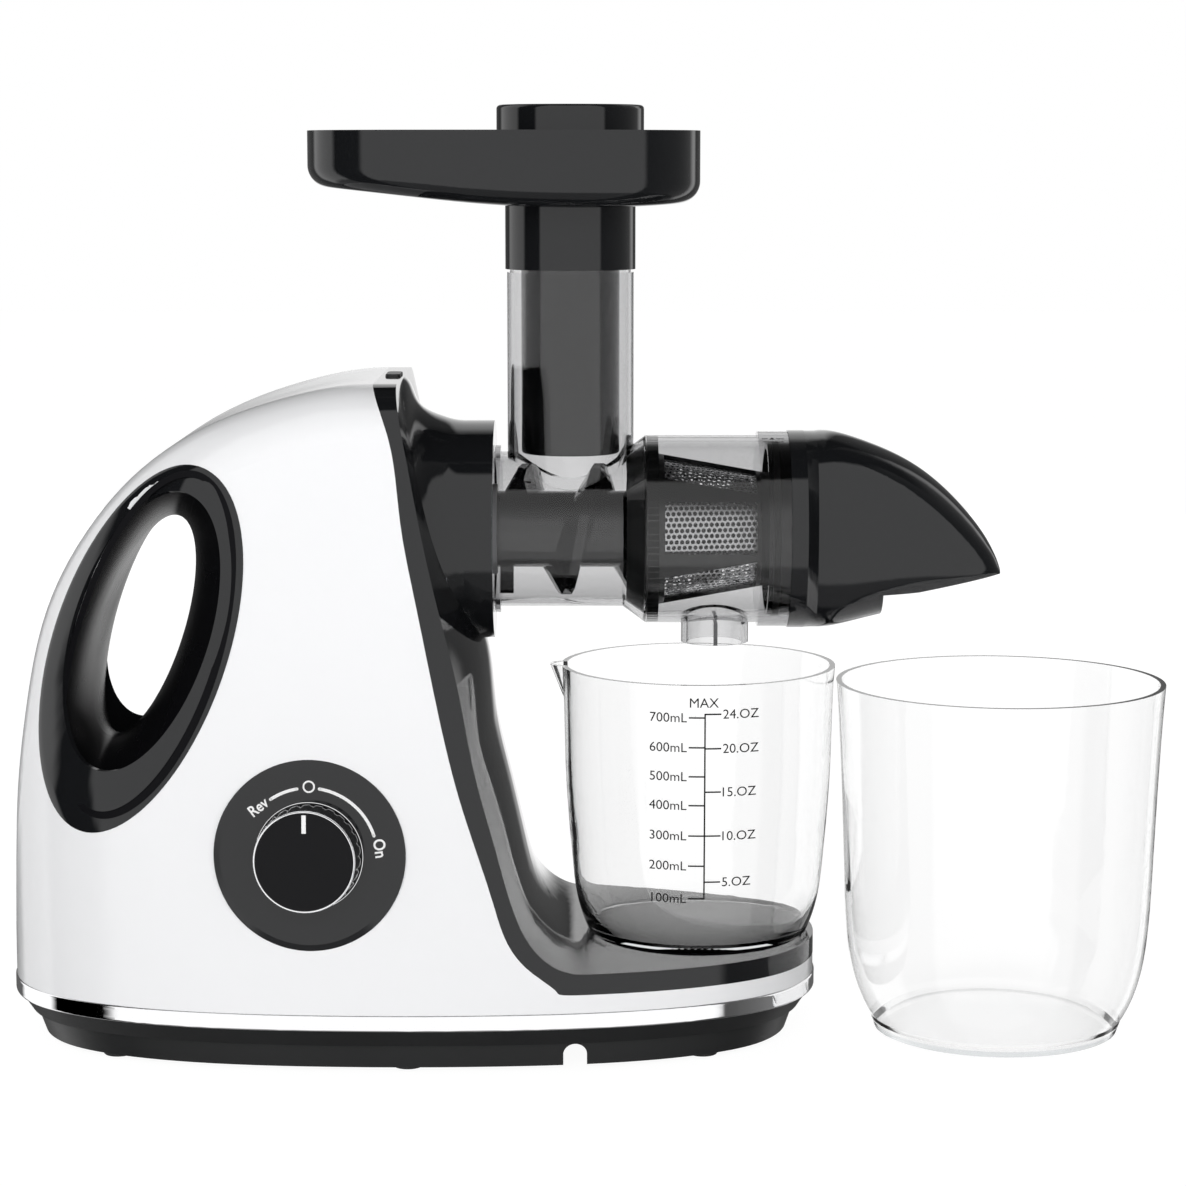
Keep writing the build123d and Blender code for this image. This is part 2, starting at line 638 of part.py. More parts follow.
control_knob.part.label = "control_knob"
export_step(control_knob.part, "parts/control_knob.step")

with BuildPart() as knob_pointer:
    with BuildSketch(DIAL_PLANE.offset(KNOB_BACK + KNOB_HEIGHT - POINTER_DEPTH)):
        with Locations((0, 14.6)):
            Rectangle(POINTER_WIDTH, POINTER_LENGTH)
    extrude(amount=POINTER_DEPTH + 0.05)
knob_pointer.part.label = "knob_pointer"
export_step(knob_pointer.part, "parts/knob_pointer.step")

with BuildPart() as knob_ring:
    add(dial_disc(KNOB_BACK, KNOB_BACK + 1.2, KNOB_RADIUS + 0.9, KNOB_RADIUS))
knob_ring.part.label = "knob_ring"
export_step(knob_ring.part, "parts/knob_ring.step")

with BuildPart() as switch_shaft:
    add(dial_disc(-14, KNOB_BACK + KNOB_HEIGHT - 3.5, SHAFT_RADIUS))
switch_shaft.part.label = "switch_shaft"
export_step(switch_shaft.part, "parts/switch_shaft.step")

with BuildPart() as rotary_switch:
    with BuildSketch(DIAL_PLANE.offset(-WALL - 20)):
        RectangleRounded(30, 26, 2)
    extrude(amount=20)
    with BuildSketch(DIAL_PLANE.offset(-WALL - 25)):
        with GridLocations(9, 10, 3, 2):
            Rectangle(4.8, 0.8)
    extrude(amount=5)
    add(dial_disc(-14.2, 0, SHAFT_RADIUS + RUNNING), mode=Mode.SUBTRACT)
rotary_switch.part.label = "rotary_switch"
export_step(rotary_switch.part, "parts/rotary_switch.step")

# ---------------------------------------------------------------- motor
MOTOR_SCREWS = [(0.0, MOTOR_Z - 17.0), (0.0, MOTOR_Z + 17.0)]
END_PLATE = 3.0
CORE_BACK = -60.0
CORE_FRONT = -36.0


def motor_ring(x0, x1, inside, outside):
    """A ring on the motor's axis."""
    return ring(x0, x1, inside, outside, 0.0, MOTOR_Z)


with BuildPart() as motor_can:
    add(motor_ring(MOTOR_BACK + END_PLATE, MOTOR_FACE, MOTOR_RADIUS - WALL, MOTOR_RADIUS))
    add(motor_ring(MOTOR_FACE - END_PLATE, MOTOR_FACE, 5.0, MOTOR_RADIUS))
    add(motor_ring(MOTOR_FACE - 8, MOTOR_FACE - END_PLATE, BEARING_RADIUS, BEARING_RADIUS + 2))
    with BuildSketch(Plane.YZ.offset(MOTOR_FACE - 4)):
        with Locations(*MOTOR_SCREWS):
            Circle(SCREW_BORE)
    extrude(amount=5, mode=Mode.SUBTRACT)
    with BuildSketch(Plane.XY.offset(MOTOR_Z - MOTOR_RADIUS - 5)):
        with Locations((MOTOR_BACK + 14, 0), (MOTOR_FACE - 10, 0)):
            Rectangle(9, 30)
    extrude(amount=12, mode=Mode.SUBTRACT)
motor_can.part.label = "motor_can"
export_step(motor_can.part, "parts/motor_can.step")

with BuildPart() as motor_end_bell:
    add(motor_ring(MOTOR_BACK, MOTOR_BACK + END_PLATE, 4.5, MOTOR_RADIUS))
    add(motor_ring(MOTOR_BACK + END_PLATE, MOTOR_BACK + 8, BEARING_RADIUS, BEARING_RADIUS + 2))
motor_end_bell.part.label = "motor_end_bell"
export_step(motor_end_bell.part, "parts/motor_end_bell.step")

with BuildPart() as motor_bearings:
    for start in (MOTOR_BACK + END_PLATE, MOTOR_FACE - 8):
        add(motor_ring(start, start + 5, SHAFT_RADIUS + RUNNING, BEARING_RADIUS))
motor_bearings.part.label = "motor_bearings"
export_step(motor_bearings.part, "parts/motor_bearings.step")

with BuildPart() as motor_magnets:
    add(motor_ring(CORE_BACK, CORE_FRONT, ROTOR_RADIUS + 1, MOTOR_RADIUS - WALL))
    with BuildSketch(Plane.XY.offset(MOTOR_Z - MOTOR_RADIUS)):
        with Locations(((CORE_BACK + CORE_FRONT) / 2, 0)):
            Rectangle(40, 22)
    extrude(amount=2 * MOTOR_RADIUS, mode=Mode.SUBTRACT)
motor_magnets.part.label = "motor_magnets"
export_step(motor_magnets.part, "parts/motor_magnets.step")

with BuildPart() as motor_armature:
    add(motor_ring(MOTOR_BACK + 1, -2.5, 0, SHAFT_RADIUS))
    add(motor_ring(CORE_BACK, CORE_FRONT, 0, ROTOR_RADIUS))
    with BuildSketch(Plane.YZ.offset(CORE_BACK)):
        with Locations((0, MOTOR_Z)):
            with PolarLocations(ROTOR_RADIUS, 12):
                Rectangle(3.4, 1.8)
    extrude(amount=CORE_FRONT - CORE_BACK, mode=Mode.SUBTRACT)
    # windings at both ends of the core, and the commutator
    add(turned([(-64, 0), (-63, 16), (CORE_BACK, 18.5), (CORE_FRONT, 18.5), (-33, 16), (-32, 0)], 0, MOTOR_Z))
    add(motor_ring(-71, -64, 0, COMMUTATOR_RADIUS))
motor_armature.part.label = "motor_armature"
export_step(motor_armature.part, "parts/motor_armature.step")

with BuildPart() as motor_brushes:
    with BuildSketch(Plane.YZ.offset(-70)):
        with Locations((0, MOTOR_Z)):
            with PolarLocations(COMMUTATOR_RADIUS + 10.3, 2):
                Rectangle(20.2, 6.0)
    extrude(amount=5)
    add(motor_ring(-71, -64, 0, COMMUTATOR_RADIUS + RUNNING), mode=Mode.SUBTRACT)
    add(motor_ring(-71, -64, MOTOR_RADIUS - WALL, MOTOR_RADIUS + 6), mode=Mode.SUBTRACT)
motor_brushes.part.label = "motor_brushes"
export_step(motor_brushes.part, "parts/motor_brushes.step")

with BuildPart() as cooling_fan:
    add(motor_ring(-31.5, -26.5, SHAFT_RADIUS, 7.0))
    with BuildSketch(Plane.YZ.offset(-31.5)):
        with Locations((0, MOTOR_Z)):
            with PolarLocations(16.0, 9):
                Rectangle(19.5, 1.2, rotation=18)
    extrude(amount=5)
cooling_fan.part.label = "cooling_fan"
export_step(cooling_fan.part, "parts/cooling_fan.step")

# upright plate with a round seat that steadies the back of the motor
with BuildPart() as motor_saddle:
    with BuildSketch(Plane.YZ.offset(-77.0)):
        with Locations((0, (PAN_TOP + MOTOR_Z - 14) / 2)):
            Rectangle(54, MOTOR_Z - 14 - PAN_TOP)
        with Locations((0, MOTOR_Z)):
            Circle(MOTOR_RADIUS, mode=Mode.SUBTRACT)
        with Locations((0, 40)):
            RectangleRounded(34, 30, 5, mode=Mode.SUBTRACT)
    extrude(amount=5)
motor_saddle.part.label = "motor_saddle"
export_step(motor_saddle.part, "parts/motor_saddle.step")


# ---------------------------------------------------------------- gear train
def involute(angle):
    return tan(angle) - angle


def gear_points(teeth, module, turn, centre):
    """Outline of a spur gear with its first tooth at the angle turn."""
    pitch = module * teeth / 2
    base = pitch * cos(radians(PRESSURE_ANGLE))
    root = pitch - 1.2 * module
    tip = pitch + 0.9 * module
    half_tooth = pi / (2 * teeth) - BACKLASH / (2 * pitch) + involute(radians(PRESSURE_ANGLE))
    flank = [(r, half_tooth - involute(acos(min(1.0, base / r)))) for r in (max(root, base), pitch, tip)]
    if root < base:
        flank.insert(0, (root, flank[0][1]))
    points = []
    for k in range(teeth):
        middle = turn + 2 * pi * k / teeth
        for r, half in flank:
            points.append((centre[0] + r * cos(middle - half), centre[1] + r * sin(middle - half)))
        for r, half in reversed(flank):
            points.append((centre[0] + r * cos(middle + half), centre[1] + r * sin(middle + half)))
    return points


def meshed_turn(driver, driver_teeth, driver_turn, wheel, wheel_teeth):
    """Angle of a wheel's first tooth that puts it in mesh with its driver."""
    line = atan2(wheel[1] - driver[1], wheel[0] - driver[0])
    phase = (line - driver_turn) * driver_teeth / (2 * pi)
    return line + pi - (0.5 - phase) * 2 * pi / wheel_teeth


def gear(stage, teeth, turn, centre):
    """A spur gear of one stage, solid to its centre."""
    with BuildPart() as piece:
        with BuildSketch(Plane.YZ.offset(STAGE_BACK[stage])):
            outline(gear_points(teeth, MODULES[stage], turn, centre))
        extrude(amount=GEAR_WIDTH)
    return piece.part


def pin_ring(x0, x1, inside, outside, centre):
    """A ring about one of the gear centres."""
    return ring(x0, x1, inside, outside, centre[0], centre[1])


HUB_ENDS = (-12.9, 12.9)
FIRST_TURN = meshed_turn(MOTOR_CENTRE, PINION_TEETH, 0.0, FIRST_CENTRE, WHEEL_TEETH[0])
SECOND_TURN = meshed_turn(FIRST_CENTRE, PINION_TEETH, 0.0, SECOND_CENTRE, WHEEL_TEETH[1])
OUTPUT_TURN = meshed_turn(SECOND_CENTRE, PINION_TEETH, 0.0, OUTPUT_CENTRE, WHEEL_TEETH[2])

with BuildPart() as motor_pinion:
    add(gear(0, PINION_TEETH, 0.0, MOTOR_CENTRE))
    add(motor_ring(-13, 0, 0, SHAFT_RADIUS), mode=Mode.SUBTRACT)
motor_pinion.part.label = "motor_pinion"
export_step(motor_pinion.part, "parts/motor_pinion.step")

with BuildPart() as first_reduction_gear:
    add(gear(0, WHEEL_TEETH[0], FIRST_TURN, FIRST_CENTRE))
    add(gear(1, PINION_TEETH, 0.0, FIRST_CENTRE))
    add(pin_ring(*HUB_ENDS, 0, HUB_RADIUS, FIRST_CENTRE))
    add(pin_ring(*HUB_ENDS, 0, PIN_RADIUS + RUNNING, FIRST_CENTRE), mode=Mode.SUBTRACT)
first_reduction_gear.part.label = "first_reduction_gear"
export_step(first_reduction_gear.part, "parts/first_reduction_gear.step")

with BuildPart() as second_reduction_gear:
    add(gear(1, WHEEL_TEETH[1], SECOND_TURN, SECOND_CENTRE))
    add(gear(2, PINION_TEETH, 0.0, SECOND_CENTRE))
    add(pin_ring(*HUB_ENDS, 0, HUB_RADIUS, SECOND_CENTRE))
    add(pin_ring(*HUB_ENDS, 0, PIN_RADIUS + RUNNING, SECOND_CENTRE), mode=Mode.SUBTRACT)
second_reduction_gear.part.label = "second_reduction_gear"
export_step(second_reduction_gear.part, "parts/second_reduction_gear.step")

with BuildPart() as output_gear:
    add(gear(2, WHEEL_TEETH[2], OUTPUT_TURN, OUTPUT_CENTRE))
    add(ring(STAGE_BACK[2], STAGE_BACK[2] + GEAR_WIDTH, 0, OUTPUT_RADIUS), mode=Mode.SUBTRACT)
    with BuildSketch(Plane.YZ.offset(STAGE_BACK[2])):
        with Locations(OUTPUT_CENTRE):
            with PolarLocations(20.5, 6):
                Circle(5.0)
    extrude(amount=GEAR_WIDTH, mode=Mode.SUBTRACT)
output_gear.part.label = "output_gear"
export_step(output_gear.part, "parts/output_gear.step")

with BuildPart() as gear_pins:
    for centre in (FIRST_CENTRE, SECOND_CENTRE):
        add(pin_ring(-15.0, 15.0, 0, PIN_RADIUS, centre))
gear_pins.part.label = "gear_pins"
export_step(gear_pins.part, "parts/gear_pins.step")

with BuildPart() as output_shaft:
    add(ring(-12.8, 17.4, 0, OUTPUT_RADIUS))
    add(ring(17.4, 28.0, 0, NOSE_RADIUS))
    with BuildSketch(Plane.YZ.offset(16.0)):
        with Locations(OUTPUT_CENTRE):
            RegularPolygon(HEX_FLATS / 2 + RUNNING, 6, major_radius=False)
    extrude(amount=13, mode=Mode.SUBTRACT)
output_shaft.part.label = "output_shaft"
export_step(output_shaft.part, "parts/output_shaft.step")

with BuildPart() as output_bearings:
    add(ring(-13.0, -6.0, OUTPUT_RADIUS + RUNNING, BEARING_BORE))
    add(ring(CASE_RIM, 17.2, OUTPUT_RADIUS + RUNNING, BEARING_BORE))
output_bearings.part.label = "output_bearings"
export_step(output_bearings.part, "parts/output_bearings.step")

with BuildPart() as drive_seal:
    add(turned([(17.5, NOSE_RADIUS + RUNNING), (17.5, BEARING_BORE), (20.0, BEARING_BORE),
                (20.0, 13.2), (18.6, 13.2), (18.6, 12.4), (20.0, 12.4), (20.0, NOSE_RADIUS + RUNNING)]))
drive_seal.part.label = "drive_seal"
export_step(drive_seal.part, "parts/drive_seal.step")

# ---------------------------------------------------------------- gearbox case, cover and screws
FLOOR_FRONT = -13.0        # inner face of the case's back plate

with BuildPart() as gearbox_case:
    add(case_prism(CASE_BACK, CASE_RIM, 0.0))
    add(case_prism(FLOOR_FRONT, CASE_RIM, CASE_WALL), mode=Mode.SUBTRACT)
    with BuildSketch(Plane.YZ.offset(FLOOR_FRONT)):
        with Locations(*COVER_SCREWS):
            Circle(3.5)
    extrude(amount=CASE_RIM - FLOOR_FRONT)
    add(ring(FLOOR_FRONT, -6.0, BEARING_BORE, BEARING_BORE + 2))
    with BuildSketch(Plane.YZ.offset(4.0)):
        with Locations(*COVER_SCREWS):
            Circle(1.5)
    extrude(amount=CASE_RIM, mode=Mode.SUBTRACT)
    add(motor_ring(CASE_BACK, FLOOR_FRONT, 0, 5.0), mode=Mode.SUBTRACT)
    for centre in (FIRST_CENTRE, SECOND_CENTRE):
        add(pin_ring(-15.0, FLOOR_FRONT, 0, PIN_RADIUS, centre), mode=Mode.SUBTRACT)
    for centre in MOTOR_SCREWS:
        add(pin_ring(CASE_BACK, -14.6, 0, SCREW_BORE, centre), mode=Mode.SUBTRACT)
        add(pin_ring(-14.6, FLOOR_FRONT, 0, 3.4, centre), mode=Mode.SUBTRACT)
gearbox_case.part.label = "gearbox_case"
export_step(gearbox_case.part, "parts/gearbox_case.step")

with BuildPart() as gearbox_cover:
    add(case_prism(CASE_RIM, CASE_FRONT, 0.0))
    add(ring(CASE_RIM, CASE_FRONT, 0, BEARING_BORE), mode=Mode.SUBTRACT)
    for centre in (FIRST_CENTRE, SECOND_CENTRE):
        add(pin_ring(CASE_RIM, 15.0, 0, PIN_RADIUS, centre), mode=Mode.SUBTRACT)
    for centre in COVER_SCREWS:
        add(pin_ring(CASE_RIM, 14.0, 0, 1.5, centre), mode=Mode.SUBTRACT)
        add(pin_ring(14.0, CASE_FRONT, 0, 3.0, centre), mode=Mode.SUBTRACT)
    for centre in MOUNTING_SCREWS:
        add(pin_ring(CASE_RIM, CASE_FRONT, 0, SCREW_BORE, centre), mode=Mode.SUBTRACT)
gearbox_cover.part.label = "gearbox_cover"
export_step(gearbox_cover.part, "parts/gearbox_cover.step")

with BuildPart() as motor_screws:
    for centre in MOTOR_SCREWS:
        add(pin_ring(-19.4, -14.6, 0, SCREW_BORE, centre))
        add(pin_ring(-14.6, -13.1, 0, 3.4, centre))
motor_screws.part.label = "motor_screws"
export_step(motor_screws.part, "parts/motor_screws.step")

with BuildPart() as gearbox_screws:
    for centre in COVER_SCREWS:
        add(pin_ring(4.5, 14.0, 0, 1.5, centre))
        add(pin_ring(14.0, 15.4, 0, 3.0, centre))
gearbox_screws.part.label = "gearbox_screws"
export_step(gearbox_screws.part, "parts/gearbox_screws.step")

with BuildPart() as mounting_screws:
    for centre in MOUNTING_SCREWS:
        add(pin_ring(13.1, BULKHEAD_FRONT, 0, SCREW_BORE, centre))
        add(pin_ring(BULKHEAD_FRONT, 20.6, 0, 3.0, centre))
mounting_screws.part.label = "mounting_screws"
export_step(mounting_screws.part, "parts/mounting_screws.step")

# ---------------------------------------------------------------- juicing drum
BACK_WALL = 30.0           # wall of the drum with the auger's seal in it
BACK_WALL_FRONT = 32.5
HUB_BORE = 18.05
BARREL_BORE = BARREL_RADIUS - DRUM_WALL
DRUM_BORE = DRUM_RADIUS - DRUM_WALL
FRONT_FLANGE = 39.0

with BuildPart() as juice_drum:
    add(turned([(DRUM_BACK, 0), (DRUM_BACK, BARREL_RADIUS), (33.3, BARREL_RADIUS), (33.3, 33.5),
                (35.5, 33.5), (35.5, BARREL_RADIUS), (FLARE_START, BARREL_RADIUS),
                (FLARE_END, DRUM_RADIUS), (137.6, DRUM_RADIUS), (137.6, FRONT_FLANGE),
                (DRUM_FRONT, FRONT_FLANGE), (DRUM_FRONT, 0)]))
    add(post(CHUTE_X, 0, AXIS_Z, CHUTE_SHOULDER, CHUTE_RADIUS))
    add(post(CHUTE_X, 0, CHUTE_SHOULDER, SPIGOT_TOP, SPIGOT_RADIUS))
    add(post(NOZZLE_X, 0, NOZZLE_BOTTOM, AXIS_Z, NOZZLE_RADIUS))
    add(turned([(BACK_WALL_FRONT, 0), (BACK_WALL_FRONT, BARREL_BORE), (FLARE_START, BARREL_BORE),
                (FLARE_END, DRUM_BORE), (DRUM_FRONT, DRUM_BORE), (DRUM_FRONT, 0)]), mode=Mode.SUBTRACT)
    add(ring(DRUM_BACK, BACK_WALL, 0, BARREL_BORE), mode=Mode.SUBTRACT)
    add(ring(BACK_WALL, BACK_WALL_FRONT, 0, HUB_BORE), mode=Mode.SUBTRACT)
    add(post(CHUTE_X, 0, AXIS_Z, SPIGOT_TOP, CHUTE_BORE), mode=Mode.SUBTRACT)
    add(post(NOZZLE_X, 0, NOZZLE_BOTTOM, AXIS_Z, NOZZLE_BORE), mode=Mode.SUBTRACT)
    # drip web across the nozzle
    with BuildSketch(Plane.YZ.offset(NOZZLE_X - 0.75)):
        with Locations((0, (NOZZLE_BOTTOM + 167.5) / 2)):
            Rectangle(2 * NOZZLE_BORE + 1, 167.5 - NOZZLE_BOTTOM)
    extrude(amount=1.5)
juice_drum.part.label = "juice_drum"
export_step(juice_drum.part, "parts/juice_drum.step")

# ---------------------------------------------------------------- auger
AUGER_BACK = 29.0
CORE_TAPER = 84.0
JOURNAL_RADIUS = 5.0
FLIGHT_START = 43.0
FLIGHT_END = 136.5
FLIGHT_STEPS = 20          # sections to one turn
FLIGHT_ROOT = 11.0
FLIGHT_FOOT = (-10.5, 5.0)  # the flight's foot behind and in front of its rim
FLIGHT_END_RADIUS = 19.0


def flight_radius(x):
    """Radius of the flight's rim: even in the barrel, then tapering inside the strainer."""
    taper = max(0.0, x - SCREEN_BACK) / (SCREEN_FRONT - SCREEN_BACK)
    return FLIGHT_RADIUS + (FLIGHT_END_RADIUS - FLIGHT_RADIUS) * taper


# The flight is left-handed about +X: going forward it turns from the top over to the back.
with BuildPart() as flight:
    steps = round((FLIGHT_END - FLIGHT_START) / FLIGHT_PITCH * FLIGHT_STEPS)
    for k in range(steps + 1):
        x = FLIGHT_START + (FLIGHT_END - FLIGHT_START) * k / steps
        turn = 2 * pi * (x - FLIGHT_TOP) / FLIGHT_PITCH
        outward = Vector(0, sin(turn), cos(turn))
        rim = flight_radius(x)
        with BuildSketch(Plane(origin=(x, 0, AXIS_Z), x_dir=outward, z_dir=outward.cross(Vector(1, 0, 0)))):
            Polygon((FLIGHT_ROOT, FLIGHT_FOOT[0]), (FLIGHT_ROOT, FLIGHT_FOOT[1]), (rim, 1.8), (rim, -2.0),
                    align=None)
    loft(ruled=True)

with BuildPart() as auger:
    add(turned([(AUGER_BACK, 0), (AUGER_BACK, CORE_RADIUS), (CORE_TAPER, CORE_RADIUS),
                (SCREEN_FRONT, 12.5), (SCREEN_FRONT, JOURNAL_RADIUS), (153.8, JOURNAL_RADIUS), (153.8, 0)]))
    add(flight.part)
    # scraping fin behind the flight
    with BuildSketch(Plane.YZ.offset(35.0)):
        with Locations((0, AXIS_Z - 18)):
            SlotOverall(17, 6, rotation=90)
    extrude(amount=5.4)
    with BuildSketch(Plane.YZ.offset(AUGER_BACK)):
        with Locations(OUTPUT_CENTRE):
            RegularPolygon(HEX_FLATS / 2, 6, major_radius=False)
    extrude(amount=31, mode=Mode.SUBTRACT)
auger.part.label = "auger"
export_step(auger.part, "parts/auger.step")

with BuildPart() as auger_hex:
    with BuildSketch(Plane.YZ.offset(16.5)):
        with Locations(OUTPUT_CENTRE):
            RegularPolygon(HEX_FLATS / 2, 6, major_radius=False)
    extrude(amount=AUGER_BACK + 31 - 16.5)
    chamfer(auger_hex.faces().sort_by(Axis.X)[0].edges(), 0.6)
auger_hex.part.label = "auger_hex"
export_step(auger_hex.part, "parts/auger_hex.step")

with BuildPart() as auger_seal:
    add(ring(BACK_WALL, 34.0, CORE_RADIUS, HUB_BORE - RUNNING))
auger_seal.part.label = "auger_seal"
export_step(auger_seal.part, "parts/auger_seal.step")

# ---------------------------------------------------------------- strainer
FRAME_WALL = 1.8
WINDOWS = 6
WINDOW_WIDTH = 20.0
WINDOW_TURN = 97.0         # degrees from the top to the first window, over the back
WINDOW_BACK = 100.4
WINDOW_FRONT = 137.0
SKIRT_BACK = 86.0          # collar of the strainer that fills the drum's flare
STRAINER_END = 147.0
MESH_WALL = 0.5

with BuildPart() as strainer:
    add(turned([(SKIRT_BACK, 27.5), (SKIRT_BACK, 29.2), (92.6, 33.9), (93.5, DRUM_BORE),
                (SCREEN_BACK, DRUM_BORE), (SCREEN_BACK, SCREEN_RADIUS_BACK + FRAME_WALL),
                (SCREEN_FRONT, SCREEN_RADIUS_FRONT + FRAME_WALL),
                (STRAINER_END, SCREEN_RADIUS_FRONT + FRAME_WALL), (STRAINER_END, SCREEN_RADIUS_FRONT),
                (SCREEN_FRONT, SCREEN_RADIUS_FRONT), (SCREEN_BACK, SCREEN_RADIUS_BACK), (SCREEN_BACK, 27.5)]))
    for k in range(WINDOWS):
        turn = radians(WINDOW_TURN + 360 / WINDOWS * k)
        outward = Vector(0, sin(turn), cos(turn))
        with BuildSketch(Plane(origin=((WINDOW_BACK + WINDOW_FRONT) / 2, 0, AXIS_Z), x_dir=(1, 0, 0),
                               z_dir=outward)):
            Rectangle(WINDOW_FRONT - WINDOW_BACK, WINDOW_WIDTH)
        extrude(amount=2 * DRUM_RADIUS, mode=Mode.SUBTRACT)
strainer.part.label = "strainer"
export_step(strainer.part, "parts/strainer.step")

with BuildPart() as strainer_screen:
    add(turned([(SCREEN_BACK, SCREEN_RADIUS_BACK - MESH_WALL), (SCREEN_BACK, SCREEN_RADIUS_BACK),
                (SCREEN_FRONT, SCREEN_RADIUS_FRONT), (SCREEN_FRONT, SCREEN_RADIUS_FRONT - MESH_WALL)]))
strainer_screen.part.label = "strainer_screen"
export_step(strainer_screen.part, "parts/strainer_screen.step")

# ---------------------------------------------------------------- pulp cap
CAP_BACK = 149.6
CAP_RADIUS = 39.5
CAP_WALL = 2.2
CAP_BODY = 156.0
SPIGOT_OUTSIDE = 34.6
SPIGOT_BACK = 141.0
CAP_HUB_RADIUS = 8.0
# Sections of the hood: X, half-width, top, bottom and superellipse power.
HOOD_NECK = [(CAP_BODY, 39.4, 243.4, 164.6, 2.0), (160.5, 31.6, 243.2, 165.0, 2.5)]
HOOD = [(160.5, 31.6, 243.2, 165.0, 2.5), (174.7, 31.0, 241.2, 167.4, 2.7), (189.1, 30.5, 235.8, 171.1, 2.8),
        (203.0, 29.4, 228.2, 174.0, 2.8), (216.0, 27.0, 217.2, 177.0, 2.8), (227.0, 23.4, 204.2, 181.0, 2.6),
        (233.2, 18.5, 191.8, 185.5, 2.3)]


def hood_form(sections, inset, ruled):
    """Part of the pulp hood, lofted along X through superellipse sections."""
    with BuildPart() as form:
        for x, half_width, top, bottom, power in sections:
            middle = (top + bottom) / 2
            with BuildSketch(Plane(origin=(x, 0, middle), x_dir=(0, 1, 0), z_dir=(1, 0, 0))):
                oval(half_width - inset, max(1.0, (top - bottom) / 2 - inset), power)
        loft(ruled=ruled)
    return form.part


with BuildPart() as pulp_cap:
    add(ring(CAP_BACK, CAP_BODY, 36.0, CAP_RADIUS))
    add(hood_form(HOOD_NECK, 0.0, True))
    add(hood_form(HOOD, 0.0, False))
    add(hood_form(HOOD_NECK, CAP_WALL, True), mode=Mode.SUBTRACT)
    add(hood_form(HOOD[:-1], CAP_WALL, False), mode=Mode.SUBTRACT)
    add(ring(SPIGOT_BACK, CAP_BODY + 0.5, 0, 36.0), mode=Mode.SUBTRACT)
    # underside of the hood, rising to its tip, and the outlet in it
    with BuildSketch(Plane.XZ):
        outline([(189.1, 150), (189.1, 179.2), (226.3, 186.9), (245, 190.8), (245, 150)])
    extrude(amount=CAP_RADIUS, both=True, mode=Mode.SUBTRACT)
    with BuildSketch(Plane.XY.offset(160)):
        outline([(186.5, -26), (212, -24), (224, -18.5), (224, 18.5), (212, 24), (186.5, 26)])
    extrude(amount=30, mode=Mode.SUBTRACT)
    # spigot that enters the drum, with the groove of the seal
    add(turned([(SPIGOT_BACK, 32.2), (SPIGOT_BACK, SPIGOT_OUTSIDE), (143, SPIGOT_OUTSIDE), (143, 33.4),
                (145.5, 33.4), (145.5, SPIGOT_OUTSIDE), (CAP_BACK, SPIGOT_OUTSIDE), (CAP_BACK, 36.2),
                (CAP_BODY, 36.2), (CAP_BODY, 32.2)]))
    # hub on three spokes
    add(ring(150.0, 154.0, CAP_HUB_RADIUS, CAP_HUB_RADIUS + 2.5))
    with BuildSketch(Plane.YZ.offset(150.0)):
        with Locations(OUTPUT_CENTRE):
            with PolarLocations(21.5, 3, start_angle=90):
                Rectangle(23.6, 4.5)
    extrude(amount=3)
pulp_cap.part.label = "pulp_cap"
export_step(pulp_cap.part, "parts/pulp_cap.step")

with BuildPart() as cap_seal:
    add(ring(143.0, 145.5, 33.4, DRUM_BORE - RUNNING))
cap_seal.part.label = "cap_seal"
export_step(cap_seal.part, "parts/cap_seal.step")

with BuildPart() as auger_bush:
    add(ring(150.0, 154.0, JOURNAL_RADIUS + RUNNING, CAP_HUB_RADIUS))
auger_bush.part.label = "auger_bush"
export_step(auger_bush.part, "parts/auger_bush.step")

# ---------------------------------------------------------------- feed tray and pusher
TRAY_WALL = 2.5
COLLAR_BORE = SPIGOT_RADIUS + 0.15
# Underside of the tray from its left end to its right end.
TRAY_UNDERSIDE = [(-42.0, 340.6), (-4.1, 337.2), (35.4, 333.4), (63.5, 332.4), (90.7, 332.8), (116.0, 334.4)]


def tray_form(inset):
    """The tray as a solid with a curved underside, or the hollow in it."""
    top = TRAY_RIM + (10 if inset else 0)
    with BuildPart() as form:
        with BuildSketch(Plane.XZ):
            under = shifted(TRAY_UNDERSIDE, 0, inset)
            with BuildLine() as rim:
                Spline(*under)
                Line(under[-1], (under[-1][0], top))
                Line((under[-1][0], top), (under[0][0], top))
                Line((under[0][0], top), under[0])
            make_face(rim.edges())
        extrude(amount=TRAY_HALF_DEPTH + 5, both=True)
        with BuildSketch(Plane.XY.offset(320)):
            oval(TRAY_HALF_LENGTH - inset, TRAY_HALF_DEPTH - inset, TRAY_POWER, TRAY_CENTRE)
        extrude(amount=60, mode=Mode.INTERSECT)
        fillet(form.edges().filter_by(lambda e: e.bounding_box().max.Z < 350), 8.5 - inset)
    return form.part


